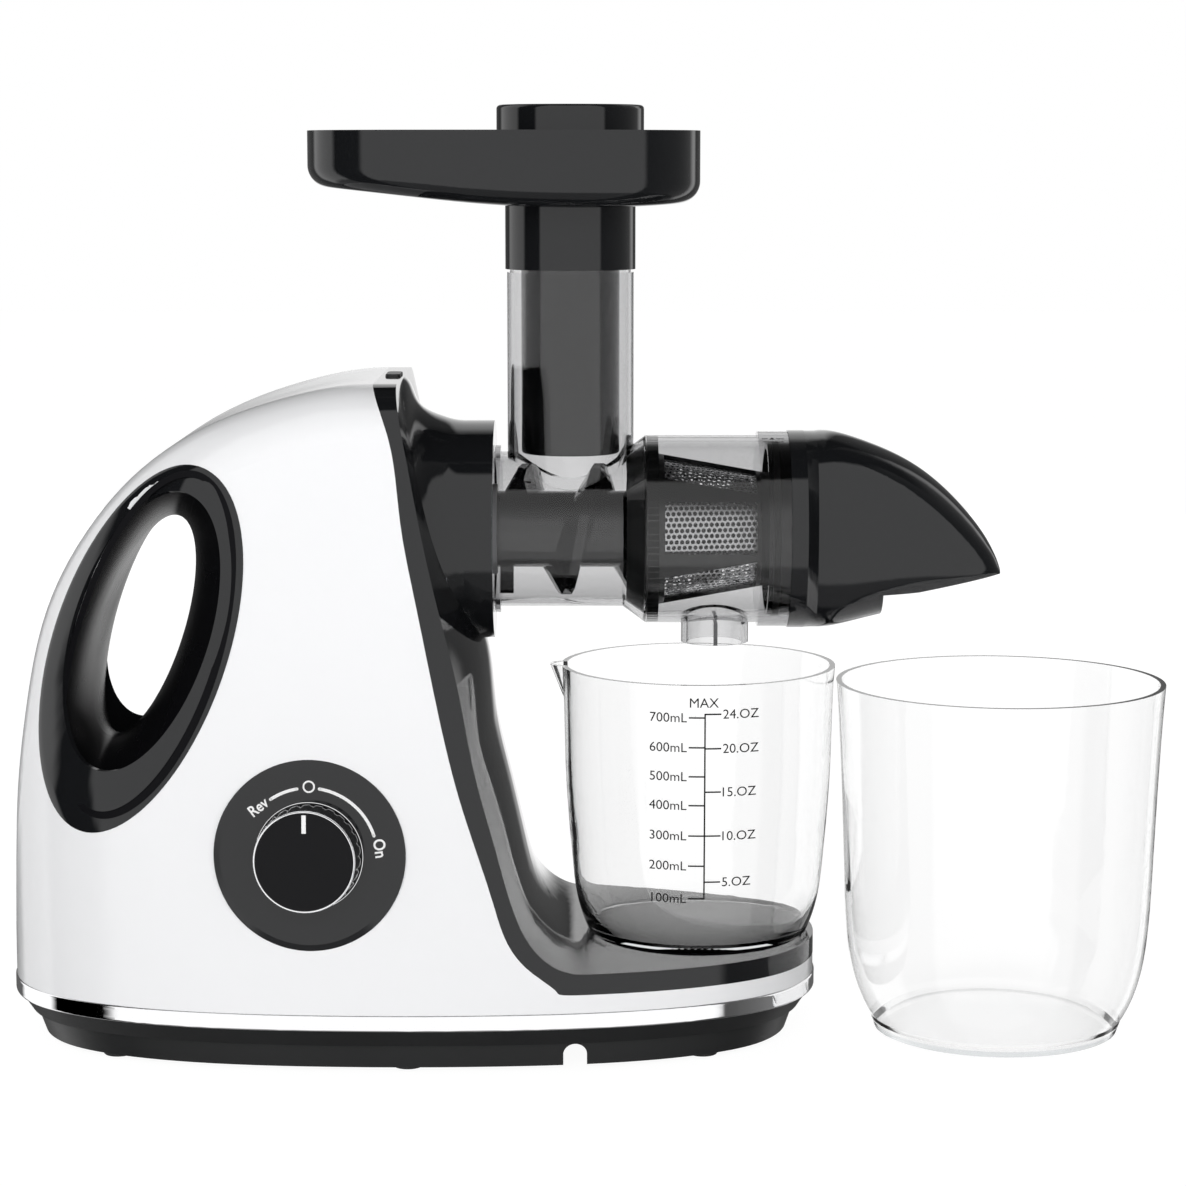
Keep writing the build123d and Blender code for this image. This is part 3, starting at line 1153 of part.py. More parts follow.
with BuildPart() as feed_tray:
    add(tray_form(0.0))
    add(post(CHUTE_X, 0, COLLAR_BOTTOM, PUSHER_SEAT - 2, COLLAR_RADIUS))
    add(tray_form(TRAY_WALL), mode=Mode.SUBTRACT)
    add(post(CHUTE_X, 0, PUSHER_SEAT - 2, PUSHER_SEAT - 0.05, PUSHER_CAP_RADIUS + 1.4))
    add(post(CHUTE_X, 0, PUSHER_SEAT - 0.05, TRAY_RIM + 1, PUSHER_CAP_RADIUS + 0.5), mode=Mode.SUBTRACT)
    add(post(CHUTE_X, 0, COLLAR_BOTTOM, SPIGOT_TOP + 0.05, COLLAR_BORE), mode=Mode.SUBTRACT)
    add(post(CHUTE_X, 0, COLLAR_BOTTOM, TRAY_RIM, CHUTE_BORE), mode=Mode.SUBTRACT)
feed_tray.part.label = "feed_tray"
export_step(feed_tray.part, "parts/feed_tray.step")

with BuildPart() as pusher:
    add(post(CHUTE_X, 0, PUSHER_SEAT, PUSHER_TOP, PUSHER_CAP_RADIUS))
    fillet(pusher.edges().group_by(Axis.Z)[-1], 1.6)
    add(post(CHUTE_X, 0, PUSHER_SEAT, PUSHER_TOP - 2.6, PUSHER_CAP_RADIUS - 2.2), mode=Mode.SUBTRACT)
    add(post(CHUTE_X, 0, PUSHER_BOTTOM, PUSHER_TOP - 1, PUSHER_RADIUS))
    fillet(pusher.edges().group_by(Axis.Z)[0], 1.2)
    add(post(CHUTE_X, 0, PUSHER_BOTTOM + 2.4, PUSHER_TOP + 1, PUSHER_RADIUS - 2.2), mode=Mode.SUBTRACT)
pusher.part.label = "pusher"
export_step(pusher.part, "parts/pusher.step")


# ---------------------------------------------------------------- cups
def cup_form(centre_x, bottom, foot_radius, wall_points, inset):
    """A round cup as a solid, or the hollow in it: a flat floor and a curved wall."""
    rim = wall_points[-1]
    wall = [(centre_x + r - inset, z) for r, z in wall_points]
    base = (centre_x + foot_radius - inset, bottom + inset)
    top = rim[1] + (5 if inset else 0)
    if inset:
        wall[0] = (wall[0][0], base[1] + 1.5)
    with BuildPart() as form:
        with BuildSketch(Plane.XZ):
            with BuildLine() as side:
                Line((centre_x, base[1]), base)
                Line(base, wall[0])
                Spline(*wall)
                Line(wall[-1], (wall[-1][0], top + 1))
                Line((wall[-1][0], top + 1), (centre_x, top + 1))
                Line((centre_x, top + 1), (centre_x, base[1]))
            make_face(side.edges())
        revolve(axis=Axis((centre_x, 0, 0), (0, 0, 1)))
        add(post(centre_x, 0, top, top + 20, 2 * foot_radius), mode=Mode.SUBTRACT)
    return form.part


JUICE_CUP_WALL = [(44.5, 41.6), (48.1, 51.8), (51.0, 72.6), (52.7, 93.0), (53.7, 114.0), (54.2, 134.0),
                  (55.1, JUICE_CUP_RIM)]
PULP_CUP_WALL = [(51.2, 5.5), (57.5, 20.0), (60.9, 40.0), (62.4, 68.0), (63.8, 104.0), (66.0, PULP_CUP_RIM)]
SPOUT_X = 62.1
SPOUT_DROP = 16.0
SPOUT_RADIUS = 7.3


def spout_form(inset):
    """The cone of the pouring spout, or the hollow in it."""
    with BuildPart() as form:
        for z, radius in ((JUICE_CUP_RIM - SPOUT_DROP, 0.8), (JUICE_CUP_RIM, SPOUT_RADIUS)):
            with BuildSketch(Plane.XY.offset(z + inset / 2)):
                with Locations((SPOUT_X, 0)):
                    Circle(max(0.3, radius - 0.8 * inset))
        loft(ruled=True)
        above = JUICE_CUP_RIM if not inset else JUICE_CUP_RIM + 5
        add(post(SPOUT_X, 0, above, JUICE_CUP_RIM + 20, 20), mode=Mode.SUBTRACT)
    return form.part


with BuildPart() as juice_cup:
    add(cup_form(JUICE_CUP_X, LEDGE_TOP, 43.3, JUICE_CUP_WALL, 0.0))
    add(spout_form(0.0))
    add(cup_form(JUICE_CUP_X, LEDGE_TOP, 43.3, JUICE_CUP_WALL, CUP_WALL), mode=Mode.SUBTRACT)
    add(spout_form(CUP_WALL), mode=Mode.SUBTRACT)
juice_cup.part.label = "juice_cup"
export_step(juice_cup.part, "parts/juice_cup.step")

with BuildPart() as pulp_cup:
    add(cup_form(PULP_CUP_X, 0.0, 49.3, PULP_CUP_WALL, 0.0))
    add(cup_form(PULP_CUP_X, 0.0, 49.3, PULP_CUP_WALL, CUP_WALL), mode=Mode.SUBTRACT)
pulp_cup.part.label = "pulp_cup"
export_step(pulp_cup.part, "parts/pulp_cup.step")
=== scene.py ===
# %% [markdown]
# # A cold press juicer, dressed in its finishes
# The shapes of this juicer come packed as solids in one frame. This lesson gives every solid its
# finish, adds the fine pieces that solids don't carry, such as print, flutes and the perforated
# sheet of the strainer, and puts the whole in plain studio light.

# %% Load the frame
import json
from math import atan2, cos, degrees, pi, radians, sin, sqrt

import bmesh
import bpy
import numpy as np
from mathutils import Matrix, Vector
from mathutils.bvhtree import BVHTree


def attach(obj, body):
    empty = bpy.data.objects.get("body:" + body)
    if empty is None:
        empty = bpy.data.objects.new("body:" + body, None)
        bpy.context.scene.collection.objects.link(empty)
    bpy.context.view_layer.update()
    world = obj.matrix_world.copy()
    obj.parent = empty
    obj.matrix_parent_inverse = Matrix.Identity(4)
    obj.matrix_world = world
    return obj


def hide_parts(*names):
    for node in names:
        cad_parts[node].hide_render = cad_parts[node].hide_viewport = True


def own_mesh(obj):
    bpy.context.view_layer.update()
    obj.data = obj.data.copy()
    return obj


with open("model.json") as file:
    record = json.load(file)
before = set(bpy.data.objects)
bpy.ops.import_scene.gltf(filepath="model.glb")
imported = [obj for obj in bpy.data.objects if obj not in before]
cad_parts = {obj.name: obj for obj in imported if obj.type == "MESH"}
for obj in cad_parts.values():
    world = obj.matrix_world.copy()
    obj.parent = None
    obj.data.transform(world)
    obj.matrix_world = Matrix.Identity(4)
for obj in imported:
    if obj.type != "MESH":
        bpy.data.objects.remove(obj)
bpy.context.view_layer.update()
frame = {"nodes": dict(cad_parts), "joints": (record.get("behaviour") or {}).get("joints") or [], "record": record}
MM = 0.001
scene = bpy.context.scene

# %% [markdown]
# ## The camera
# A small appliance is usually shown from a little above its middle with a long lens, because a long
# lens keeps upright lines upright. The camera stands 1.26 m in front and looks down by 8 degrees.

# %% Place the camera
LOOK_DOWN = 7.853            # degrees
lens = bpy.data.cameras.new("camera")
lens.lens = 96.04
lens.sensor_width = 36.0
camera = bpy.data.objects.new("camera", lens)
camera.location = Vector((72.15, -1259.38, 351.69)) * MM
camera.rotation_euler = (radians(90 - LOOK_DOWN), 0, 0)
scene.collection.objects.link(camera)
scene.camera = camera
scene.view_settings.view_transform = "Standard"
print("camera at", tuple(round(c, 3) for c in camera.location))

# %% [markdown]
# ## A helper for node trees
# Every finish below is a small tree of nodes. A helper that adds one node, sets it and wires its
# inputs keeps each recipe as short as a sentence.


# %% Node helper
def add_node(tree, kind, inputs=None, **settings):
    """Adds a node; an input given as a socket is linked, any other value is set on it."""
    node = tree.nodes.new(kind)
    for name, value in settings.items():
        setattr(node, name, value)
    for key, value in (inputs or {}).items():
        if isinstance(value, bpy.types.NodeSocket):
            tree.links.new(value, node.inputs[key])
        else:
            node.inputs[key].default_value = value
    return node


def fill_ramp(ramp, stops):
    """Gives a colour ramp grey stops, as pairs of place and value."""
    elements = ramp.color_ramp.elements
    while len(elements) < len(stops):
        elements.new(1.0)
    for element, (place, value) in zip(elements, stops):
        element.position = place
        element.color = (value, value, value, 1)


print("helpers ready")

# %% [markdown]
# ## The studio
# Gloss is mostly what it mirrors. A photographer surrounds black gloss plastic with large white
# cards and leaves black gaps between them, so that every curve gets bright bands with dark edges.
# The world below does the same by direction: a broad card in front, black above it and beside it,
# and lower cards behind with dark gaps of their own. Only mirrored rays see the cards. What the
# camera sees directly is plain white, and matt surfaces get a grey fill that fades towards the
# zenith. Clear plastic has white behind it too, but only for level rays: those that its edges bend
# far up or down meet black, which draws the outline of glassware.

# %% Cards for mirrored rays
world = bpy.data.worlds.new("studio")
scene.world = world
world.use_nodes = True
sky = world.node_tree
sky.nodes.clear()
way = add_node(sky, "ShaderNodeTexCoord").outputs["Generated"]
axes = add_node(sky, "ShaderNodeSeparateXYZ", {0: way})
towards = add_node(sky, "ShaderNodeMath", {0: axes.outputs["Y"], 1: -1.0}, operation="MULTIPLY")
azimuth = add_node(sky, "ShaderNodeMath", {0: axes.outputs["X"], 1: towards.outputs[0]},
                   operation="ARCTAN2")
turn = add_node(sky, "ShaderNodeMapRange", {
    "Value": azimuth.outputs[0], "From Min": -pi, "From Max": pi})
height = add_node(sky, "ShaderNodeMath", {0: axes.outputs["Z"]}, operation="ARCSINE")
lift = add_node(sky, "ShaderNodeMapRange", {
    "Value": height.outputs[0], "From Min": -pi / 2, "From Max": pi / 2})


def card_ramp(source, stops, span=180):
    """A ramp of grey values over an angle: stops are pairs of degrees and value."""
    ramp = add_node(sky, "ShaderNodeValToRGB", {"Fac": source.outputs[0]})
    fill_ramp(ramp, [((angle + span / 2) / span, value) for angle, value in stops])
    return ramp.outputs["Color"]


round_about = card_ramp(turn, [
    (-180, 1.1), (-175, 1.1), (-169, 0.12), (-140, 0.12), (-132, 1.1), (-92, 1.1),
    (-86, 0.0), (-57, 0.0), (-53, 1.08), (53, 1.08), (57, 0.08), (100, 0.22),
    (128, 0.35), (136, 1.1), (142, 1.1), (148, 0.12), (169, 0.12), (175, 1.1)], span=360)
below = [(-90, 0.02), (-80, 0.03), (-74, 0.26), (-42, 0.3), (-37, 1.0)]
in_front = card_ramp(lift, below + [(64, 1.0), (68, 0.0), (90, 0.0)])
behind = card_ramp(lift, below + [(42, 1.0), (54, 0.15), (90, 0.0)])
through = card_ramp(lift, [
    (-90, 0.1), (-45, 0.1), (-24, 1.0), (24, 1.0), (45, 0.08), (90, 0.04)])
soft = card_ramp(lift, [(-90, 0.5), (0, 0.68), (30, 0.46), (90, 0.04)])
is_behind = add_node(sky, "ShaderNodeMath", {0: axes.outputs["Y"], 1: 0.0},
                     operation="GREATER_THAN")
up_down = add_node(sky, "ShaderNodeMixRGB", {
    "Fac": is_behind.outputs[0], "Color1": in_front, "Color2": behind})
cards = add_node(sky, "ShaderNodeMixRGB", {
    "Fac": 1.0, "Color1": round_about, "Color2": up_down.outputs[0]}, blend_type="MULTIPLY")
print("the sky has", len(sky.nodes), "nodes")

# %% Sort the rays
path = add_node(sky, "ShaderNodeLightPath")
fill = add_node(sky, "ShaderNodeBackground", {"Color": soft, "Strength": 1.0})
mirrored = add_node(sky, "ShaderNodeBackground", {"Color": cards.outputs[0], "Strength": 1.0})
plain = add_node(sky, "ShaderNodeBackground", {"Color": (1, 1, 1, 1), "Strength": 1.0})
behind_clear = add_node(sky, "ShaderNodeBackground", {"Color": through, "Strength": 1.0})
first = add_node(sky, "ShaderNodeMixShader", {0: path.outputs["Is Glossy Ray"],
                                              1: fill.outputs[0], 2: mirrored.outputs[0]})
second = add_node(sky, "ShaderNodeMixShader", {0: path.outputs["Is Transmission Ray"],
                                               1: first.outputs[0], 2: behind_clear.outputs[0]})
third = add_node(sky, "ShaderNodeMixShader", {0: path.outputs["Is Camera Ray"],
                                              1: second.outputs[0], 2: plain.outputs[0]})
add_node(sky, "ShaderNodeOutputWorld", {"Surface": third.outputs[0]})
print("fill strength", fill.inputs["Strength"].default_value)

# %% [markdown]
# The fill alone would leave white plastic flat. One large soft lamp in front and to the left models
# the housing, and a weaker one keeps its back from going grey. Both are kept out of mirrored rays,
# because the cards already stand for them there.


# %% Hang the lamps
LAMP_SIZE = 1.3              # metres
LAMP_AIM = Vector((0, 0, 0.15))


def hang_lamp(name, place, power):
    """A square soft lamp that lights matt surfaces only."""
    lamp = bpy.data.lights.new(name, "AREA")
    lamp.shape = "SQUARE"
    lamp.size = LAMP_SIZE
    lamp.energy = power
    holder = bpy.data.objects.new(name, lamp)
    holder.location = place
    holder.rotation_euler = (LAMP_AIM - Vector(place)).to_track_quat("-Z", "Y").to_euler()
    for ray in ("visible_camera", "visible_glossy", "visible_transmission"):
        setattr(holder, ray, False)
    scene.collection.objects.link(holder)
    return holder


front_lamp = hang_lamp("front_lamp", (-0.1, -1.8, 0.65), 20.5)
back_lamp = hang_lamp("back_lamp", (0.1, 1.8, 0.5), 11.0)
print("lamp power", front_lamp.data.energy, "and", back_lamp.data.energy, "W")

# %% [markdown]
# ## The floor
# A pale sheet lies under the juicer. Seen directly it is almost pure white and keeps only a soft
# shadow, so it mixes a little plain diffuse with white light. Gloss plastic mirrors the cards
# instead of the floor.

# %% Lay the floor
FLOOR_REACH = 6.0            # metres to every side
GLOW_SHARE = 0.82
GLOW_STRENGTH = 1.15
floor_mesh = bmesh.new()
bmesh.ops.create_grid(floor_mesh, x_segments=1, y_segments=1, size=FLOOR_REACH)
floor_data = bpy.data.meshes.new("floor")
floor_mesh.to_mesh(floor_data)
floor_mesh.free()
floor = bpy.data.objects.new("floor", floor_data)
floor.location = (0, 0, -0.5 * MM)
floor.visible_glossy = False
scene.collection.objects.link(floor)
paper = bpy.data.materials.new("paper")
paper.use_nodes = True
tree = paper.node_tree
tree.nodes.clear()
path = add_node(tree, "ShaderNodeLightPath")
seen = add_node(tree, "ShaderNodeMath", {
    0: path.outputs["Is Camera Ray"], 1: path.outputs["Is Transmission Ray"]}, operation="MAXIMUM")
share = add_node(tree, "ShaderNodeMath", {0: seen.outputs[0], 1: GLOW_SHARE},
                 operation="MULTIPLY")
matt = add_node(tree, "ShaderNodeBsdfDiffuse", {"Color": (0.93, 0.93, 0.93, 1)})
glow = add_node(tree, "ShaderNodeEmission", {"Color": (1, 1, 1, 1), "Strength": GLOW_STRENGTH})
both = add_node(tree, "ShaderNodeMixShader", {0: share.outputs[0], 1: matt.outputs[0],
                                              2: glow.outputs[0]})
add_node(tree, "ShaderNodeOutputMaterial", {"Surface": both.outputs[0]})
floor_data.materials.append(paper)
print("floor laid")

# %% [markdown]
# ## Finishes
# Moulded plastic is never one flat value. Its skin shows a faint ripple from the mould, and its
# gloss wanders where hands and cloths have touched it. So each plastic has a broad noise that moves
# the roughness and a fine one that raises the skin by a few microns. The colour itself stays on the
# shader's own socket, so that it is the same in every renderer.


# %% Plastic and rubber recipe
HAND_MARKS = 22.0            # scale of the noise that moves the roughness of plastics


def new_finish(name):
    """A material with a Principled shader; gives it back with its tree, shader and coordinates."""
    finish = bpy.data.materials.new(name)
    finish.use_nodes = True
    tree = finish.node_tree
    tree.nodes.clear()
    shader = add_node(tree, "ShaderNodeBsdfPrincipled")
    add_node(tree, "ShaderNodeOutputMaterial", {"Surface": shader.outputs[0]})
    place = add_node(tree, "ShaderNodeTexCoord").outputs["Object"]
    return finish, tree, shader, place


def wander(tree, place, scale, low, high, detail=3.0):
    """A noise over the object's own coordinates, spread between two values."""
    noise = add_node(tree, "ShaderNodeTexNoise", {
        "Vector": place, "Scale": scale, "Detail": detail})
    spread = add_node(tree, "ShaderNodeMapRange", {
        "Value": noise.outputs["Fac"], "From Min": 0.3, "From Max": 0.7,
        "To Min": low, "To Max": high})
    return spread.outputs[0]


def raise_skin(tree, shader, height, distance):
    """Raises the shader's surface by a height between 0 and 1 times a distance in metres."""
    bump = add_node(tree, "ShaderNodeBump", {
        "Height": height, "Distance": distance, "Strength": 1.0})
    tree.links.new(bump.outputs[0], shader.inputs["Normal"])


def moulded(name, colour, gloss, grain, depth, specular=0.5):
    """Moulded plastic or rubber: gloss is its range of roughness, grain the ripple's scale."""
    finish, tree, shader, place = new_finish(name)
    shader.inputs["Base Color"].default_value = (*colour, 1)
    shader.inputs["IOR"].default_value = 1.5
    shader.inputs["Specular IOR Level"].default_value = specular
    tree.links.new(wander(tree, place, HAND_MARKS, *gloss), shader.inputs["Roughness"])
    raise_skin(tree, shader, wander(tree, place, grain, 0.0, 1.0, 2.0), depth)
    return finish


moulded_slots = {
    "gloss_black": ((0.0085, 0.009, 0.010), (0.03, 0.07), 260, 2e-6),
    "gloss_white": ((0.87, 0.873, 0.885), (0.10, 0.17), 240, 3e-6),
    "satin_black": ((0.013, 0.0135, 0.014), (0.34, 0.46), 2600, 1.2e-5),
    "foot_rubber": ((0.02, 0.02, 0.02), (0.55, 0.75), 1800, 2e-5),
    "seal_silicone": ((0.52, 0.53, 0.55), (0.38, 0.52), 1500, 1e-5),
    "pointer_white": ((0.88, 0.88, 0.88), (0.25, 0.4), 900, 4e-6),
    "gear_nylon": ((0.8, 0.78, 0.7), (0.35, 0.5), 1200, 8e-6),
    "grey_nylon": ((0.1, 0.105, 0.115), (0.4, 0.6), 2200, 1.6e-5),
}
finishes = {slot: moulded(slot + "_finish", *recipe) for slot, recipe in moulded_slots.items()}
liner_black = moulded("liner_black_finish", (0.006, 0.006, 0.007), (0.24, 0.30), 260, 2e-6,
                      specular=0.04)
knob_face = moulded("knob_face_finish", (0.006, 0.006, 0.007), (0.12, 0.18), 260, 2e-6,
                    specular=0.12)
ink_black = moulded("ink_black_finish", (0.003, 0.003, 0.003), (0.5, 0.6), 900, 2e-6,
                    specular=0.1)
print("moulded finishes:", sorted(finishes))

# %% [markdown]
# Metals differ by how they were worked. The chrome band is plated over polished plastic and mirrors
# sharply. Turned steel and drawn sheet carry fine lines along one way, which a noise stretched along
# that way gives. Sintered bronze and ferrite are grainy, because both are pressed from powder.


# %% Metal recipe
def metal(name, colour, gloss, stretch, scale, depth, metallic=1.0):
    """A metal whose working marks are a noise stretched by a factor per axis."""
    finish, tree, shader, place = new_finish(name)
    shader.inputs["Base Color"].default_value = (*colour, 1)
    shader.inputs["Metallic"].default_value = metallic
    worked = add_node(tree, "ShaderNodeMapping", {"Vector": place, "Scale": stretch}).outputs[0]
    tree.links.new(wander(tree, worked, scale, *gloss), shader.inputs["Roughness"])
    raise_skin(tree, shader, wander(tree, worked, scale * 2, 0.0, 1.0), depth)
    return finish


metal_slots = {
    "trim_chrome": ((0.93, 0.93, 0.94), (0.02, 0.06), (1, 1, 1), 60, 1e-6),
    "steel": ((0.72, 0.72, 0.73), (0.16, 0.34), (0.08, 1, 1), 1600, 3e-6),
    "plated_steel": ((0.6, 0.61, 0.63), (0.22, 0.42), (1, 1, 0.1), 700, 4e-6),
    "bronze": ((0.56, 0.37, 0.18), (0.36, 0.55), (1, 1, 1), 3000, 1e-5),
    "magnet": ((0.09, 0.09, 0.1), (0.5, 0.7), (1, 1, 1), 2400, 1.5e-5, 0.4),
}
for slot, recipe in metal_slots.items():
    finishes[slot] = metal(slot + "_finish", *recipe)
print("metal finishes:", list(metal_slots))

# %% [markdown]
# The drum and the cups are clear moulded plastic, which bends light and darkens slightly through
# its thickness. A volume absorption gives the darkening, so thick edges look deeper than thin walls.
# A faint ripple keeps the reflections from looking machined.


# %% Clear plastic and circuit board
def clear_moulding(name, density, tint, gloss):
    """Clear plastic with a slight absorption per metre."""
    finish, tree, shader, place = new_finish(name)
    shader.inputs["Base Color"].default_value = (1, 1, 1, 1)
    shader.inputs["Transmission Weight"].default_value = 1.0
    shader.inputs["IOR"].default_value = 1.49
    tree.links.new(wander(tree, place, 30.0, *gloss), shader.inputs["Roughness"])
    raise_skin(tree, shader, wander(tree, place, 120.0, 0.0, 1.0, 2.0), 2e-6)
    soak = add_node(tree, "ShaderNodeVolumeAbsorption", {"Color": tint, "Density": density})
    output = next(n for n in tree.nodes if n.type == "OUTPUT_MATERIAL")
    tree.links.new(soak.outputs[0], output.inputs["Volume"])
    return finish


finishes["clear_plastic"] = clear_moulding("cup_clear_finish", 12.0, (0.8, 0.82, 0.83, 1),
                                           (0.0, 0.02))
# The drum absorbs far more than the cups: part of it is a smoky tint, part is painted shade for the inside of the
# drum.
drum_smoke_and_shade = clear_moulding("drum_smoke_and_shade_finish", 190.0, (0.5, 0.5, 0.51, 1), (0.0, 0.03))

board, tree, shader, place = new_finish("board_green_finish")
traces = add_node(tree, "ShaderNodeTexBrick", {
    "Vector": place, "Color1": (0.02, 0.13, 0.06, 1), "Color2": (0.03, 0.17, 0.08, 1),
    "Mortar": (0.3, 0.25, 0.1, 1), "Scale": 260.0, "Mortar Size": 0.012})
tree.links.new(traces.outputs["Color"], shader.inputs["Base Color"])
tree.links.new(wander(tree, place, 200.0, 0.25, 0.4), shader.inputs["Roughness"])
finishes["board_green"] = board
print("finishes in all:", len(finishes))

# %% [markdown]
# ## Dress the solids
# The imported record names a material slot for every node. Each solid takes the finish of its slot.
# Only the drum gets its own, darker clear plastic, whose extra darkness is partly a smoky tint and partly painted
# shade inside the drum, and the lining of the handle a duller black.

# %% Hand out the finishes
slot_of = {part["node"]: part["material_slot"] for part in frame["record"]["subparts"]}
for name, solid in frame["nodes"].items():
    for slot in solid.material_slots:
        slot.material = finishes[slot_of[name]]
# The drum's darker plastic is a smoky tint plus painted shade inside the drum.
frame["nodes"]["juice_drum"].material_slots[0].material = drum_smoke_and_shade
for name in ("handle_liner_front", "handle_liner_rear"):
    frame["nodes"][name].material_slots[0].material = liner_black
print("dressed", len(slot_of), "solids")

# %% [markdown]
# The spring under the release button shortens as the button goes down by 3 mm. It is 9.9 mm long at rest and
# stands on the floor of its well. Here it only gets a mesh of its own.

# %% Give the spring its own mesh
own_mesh(frame["nodes"]["button_spring"])

# %% [markdown]
# ## Helpers for new pieces
# A new piece is a bmesh first. When it is done it becomes an object at the origin with its place in
# its mesh, gets its finish, and rides on the body that carries it.


# %% Finish and place a piece
def add_piece(name, shape, body, slot, smooth, stands_for=(), wears=()):
    """Turns a bmesh into a piece that rides on a body; edges over smooth degrees stay sharp."""
    data = bpy.data.meshes.new(name)
    shape.to_mesh(data)
    shape.free()
    for finish in wears or [finishes[slot]]:
        data.materials.append(finish)
    piece = bpy.data.objects.new(name, data)
    scene.collection.objects.link(piece)
    if smooth:
        data.shade_smooth()
        data.set_sharp_from_angle(angle=radians(smooth))
    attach(piece, body)
    if stands_for:
        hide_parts(*stands_for)
    print(name, "has", sum(len(f.vertices) - 2 for f in data.polygons), "triangles")
    return piece


joints = {joint["name"]: joint for joint in frame["joints"]}
print("joints:", len(joints))

# %% [markdown]
# ## The dial
# The dial lies on the curved side wall, so it is turned a little and leans back. Its pieces are
# modelled flat, with x to the right, y up and z out of the wall, and one matrix then puts them on
# the wall. The axis of the knob's joint gives that matrix, so knob and joint can't disagree.

# %% The dial's own axes
turn_joint = joints["control_knob_turn"]
outward = Vector(turn_joint["axis"]).normalized()
rightward = Vector((0, 0, 1)).cross(outward).normalized()
upward = outward.cross(rightward)
on_dial = Matrix((rightward, upward, outward)).transposed().to_4x4()
on_dial.translation = Vector(turn_joint["pos_m"])
print("dial faces", tuple(round(c, 3) for c in outward))

# %% [markdown]
# The plate is a disc whose front slopes away over its last two and a half millimetres. That slope
# mirrors the dark below and draws the plate's outline. Insetting the front face and raising it in
# the same step makes the slope.

# %% Dial plate
PLATE_RADIUS = 36.9 * MM
PLATE_BACK = -2.2 * MM       # heights count from the wall outwards
PLATE_EDGE = 0.05 * MM
PLATE_PROUD = 1.0 * MM
PLATE_SLOPE = 2.5 * MM       # width of the sloped rim


def turned_disc(shape, radius, top_radius, low, high, sides):
    """Adds a closed disc or cone on the z axis and returns its vertices."""
    made = bmesh.ops.create_cone(shape, cap_ends=True, segments=sides, radius1=radius,
                                 radius2=top_radius, depth=high - low,
                                 matrix=Matrix.Translation((0, 0, (low + high) / 2)))
    return made["verts"]


def front_face(shape):
    """The cap of a disc that faces out of the wall."""
    return max(shape.faces, key=lambda face: face.calc_center_median().z + face.normal.z)


plate = bmesh.new()
turned_disc(plate, PLATE_RADIUS, PLATE_RADIUS, PLATE_BACK, PLATE_EDGE, 160)
plate.normal_update()
bmesh.ops.inset_region(plate, faces=[front_face(plate)], thickness=PLATE_SLOPE,
                       depth=PLATE_PROUD - PLATE_EDGE)
bmesh.ops.transform(plate, matrix=on_dial, verts=plate.verts)
add_piece("dial_face", plate, "housing", "gloss_black", 15, ["dial_plate"])

# %% [markdown]
# The knob is a moulded cup that tapers by three degrees. Its side carries shallow flutes, so that
# wet fingers don't slip. The flutes end under a plain round lip, and the lip's front edge is a
# narrow polished ring round a duller face. The flutes start as a cone with eight sides to each
# flute, of which three are drawn inwards. A first inset of the cone's front closes the flutes with
# a plain circle. The next ones raise the lip, bevel its edge into the ring, whose faces take the
# chrome finish, and sink the face a little.

# %% Knob
KNOB_RADIUS = 20.3 * MM
KNOB_HEIGHT = 14.0 * MM
KNOB_BACK = PLATE_PROUD + 0.2 * MM
KNOB_FRONT = KNOB_BACK + KNOB_HEIGHT
TAPER = 0.0524               # the tangent of three degrees
TOP_RADIUS = KNOB_RADIUS - KNOB_HEIGHT * TAPER
LIP = 2.6 * MM
FLUTES = 26
FLUTE_SIDES = 8
FLUTE_SCALE = 0.986
grip = bmesh.new()
side = turned_disc(grip, KNOB_RADIUS, TOP_RADIUS, KNOB_BACK, KNOB_FRONT - LIP,
                   FLUTES * FLUTE_SIDES)
in_flute = []
for vertex in side:
    step = round(atan2(vertex.co.y, vertex.co.x) / (2 * pi) * FLUTES * FLUTE_SIDES)
    if step % FLUTE_SIDES in (0, 1, 2):
        in_flute.append(vertex)
bmesh.ops.scale(grip, vec=(FLUTE_SCALE, FLUTE_SCALE, 1), verts=in_flute)
grip.normal_update()
lid = front_face(grip)
bmesh.ops.inset_region(grip, faces=[lid], thickness=0.0, depth=0.2 * MM)
for vertex in lid.verts:
    vertex.co.xy = vertex.co.xy.normalized() * TOP_RADIUS
BLACK, CHROME, DULL = 0, 1, 2
insets = [(0.03, 1.6, BLACK), (0.12, 0.45, CHROME), (0.3, 0.35, CHROME), (0.3, 0.0, CHROME),
          (0.25, -0.15, BLACK)]
for thickness, depth, finish in insets:
    border = bmesh.ops.inset_region(grip, faces=[lid], thickness=thickness * MM, depth=depth * MM)
    for face in border["faces"]:
        face.material_index = finish
lid.material_index = DULL
bmesh.ops.transform(grip, matrix=on_dial, verts=grip.verts)
add_piece("knob_grip", grip, "knob", "gloss_black", 30, ["control_knob"],
          [finishes["gloss_black"], finishes["trim_chrome"], knob_face])

# %% [markdown]
# A thin bright wire lies round the foot of the knob. A small circle spun once about the axis gives
# it, and merging the last section with the first closes it.

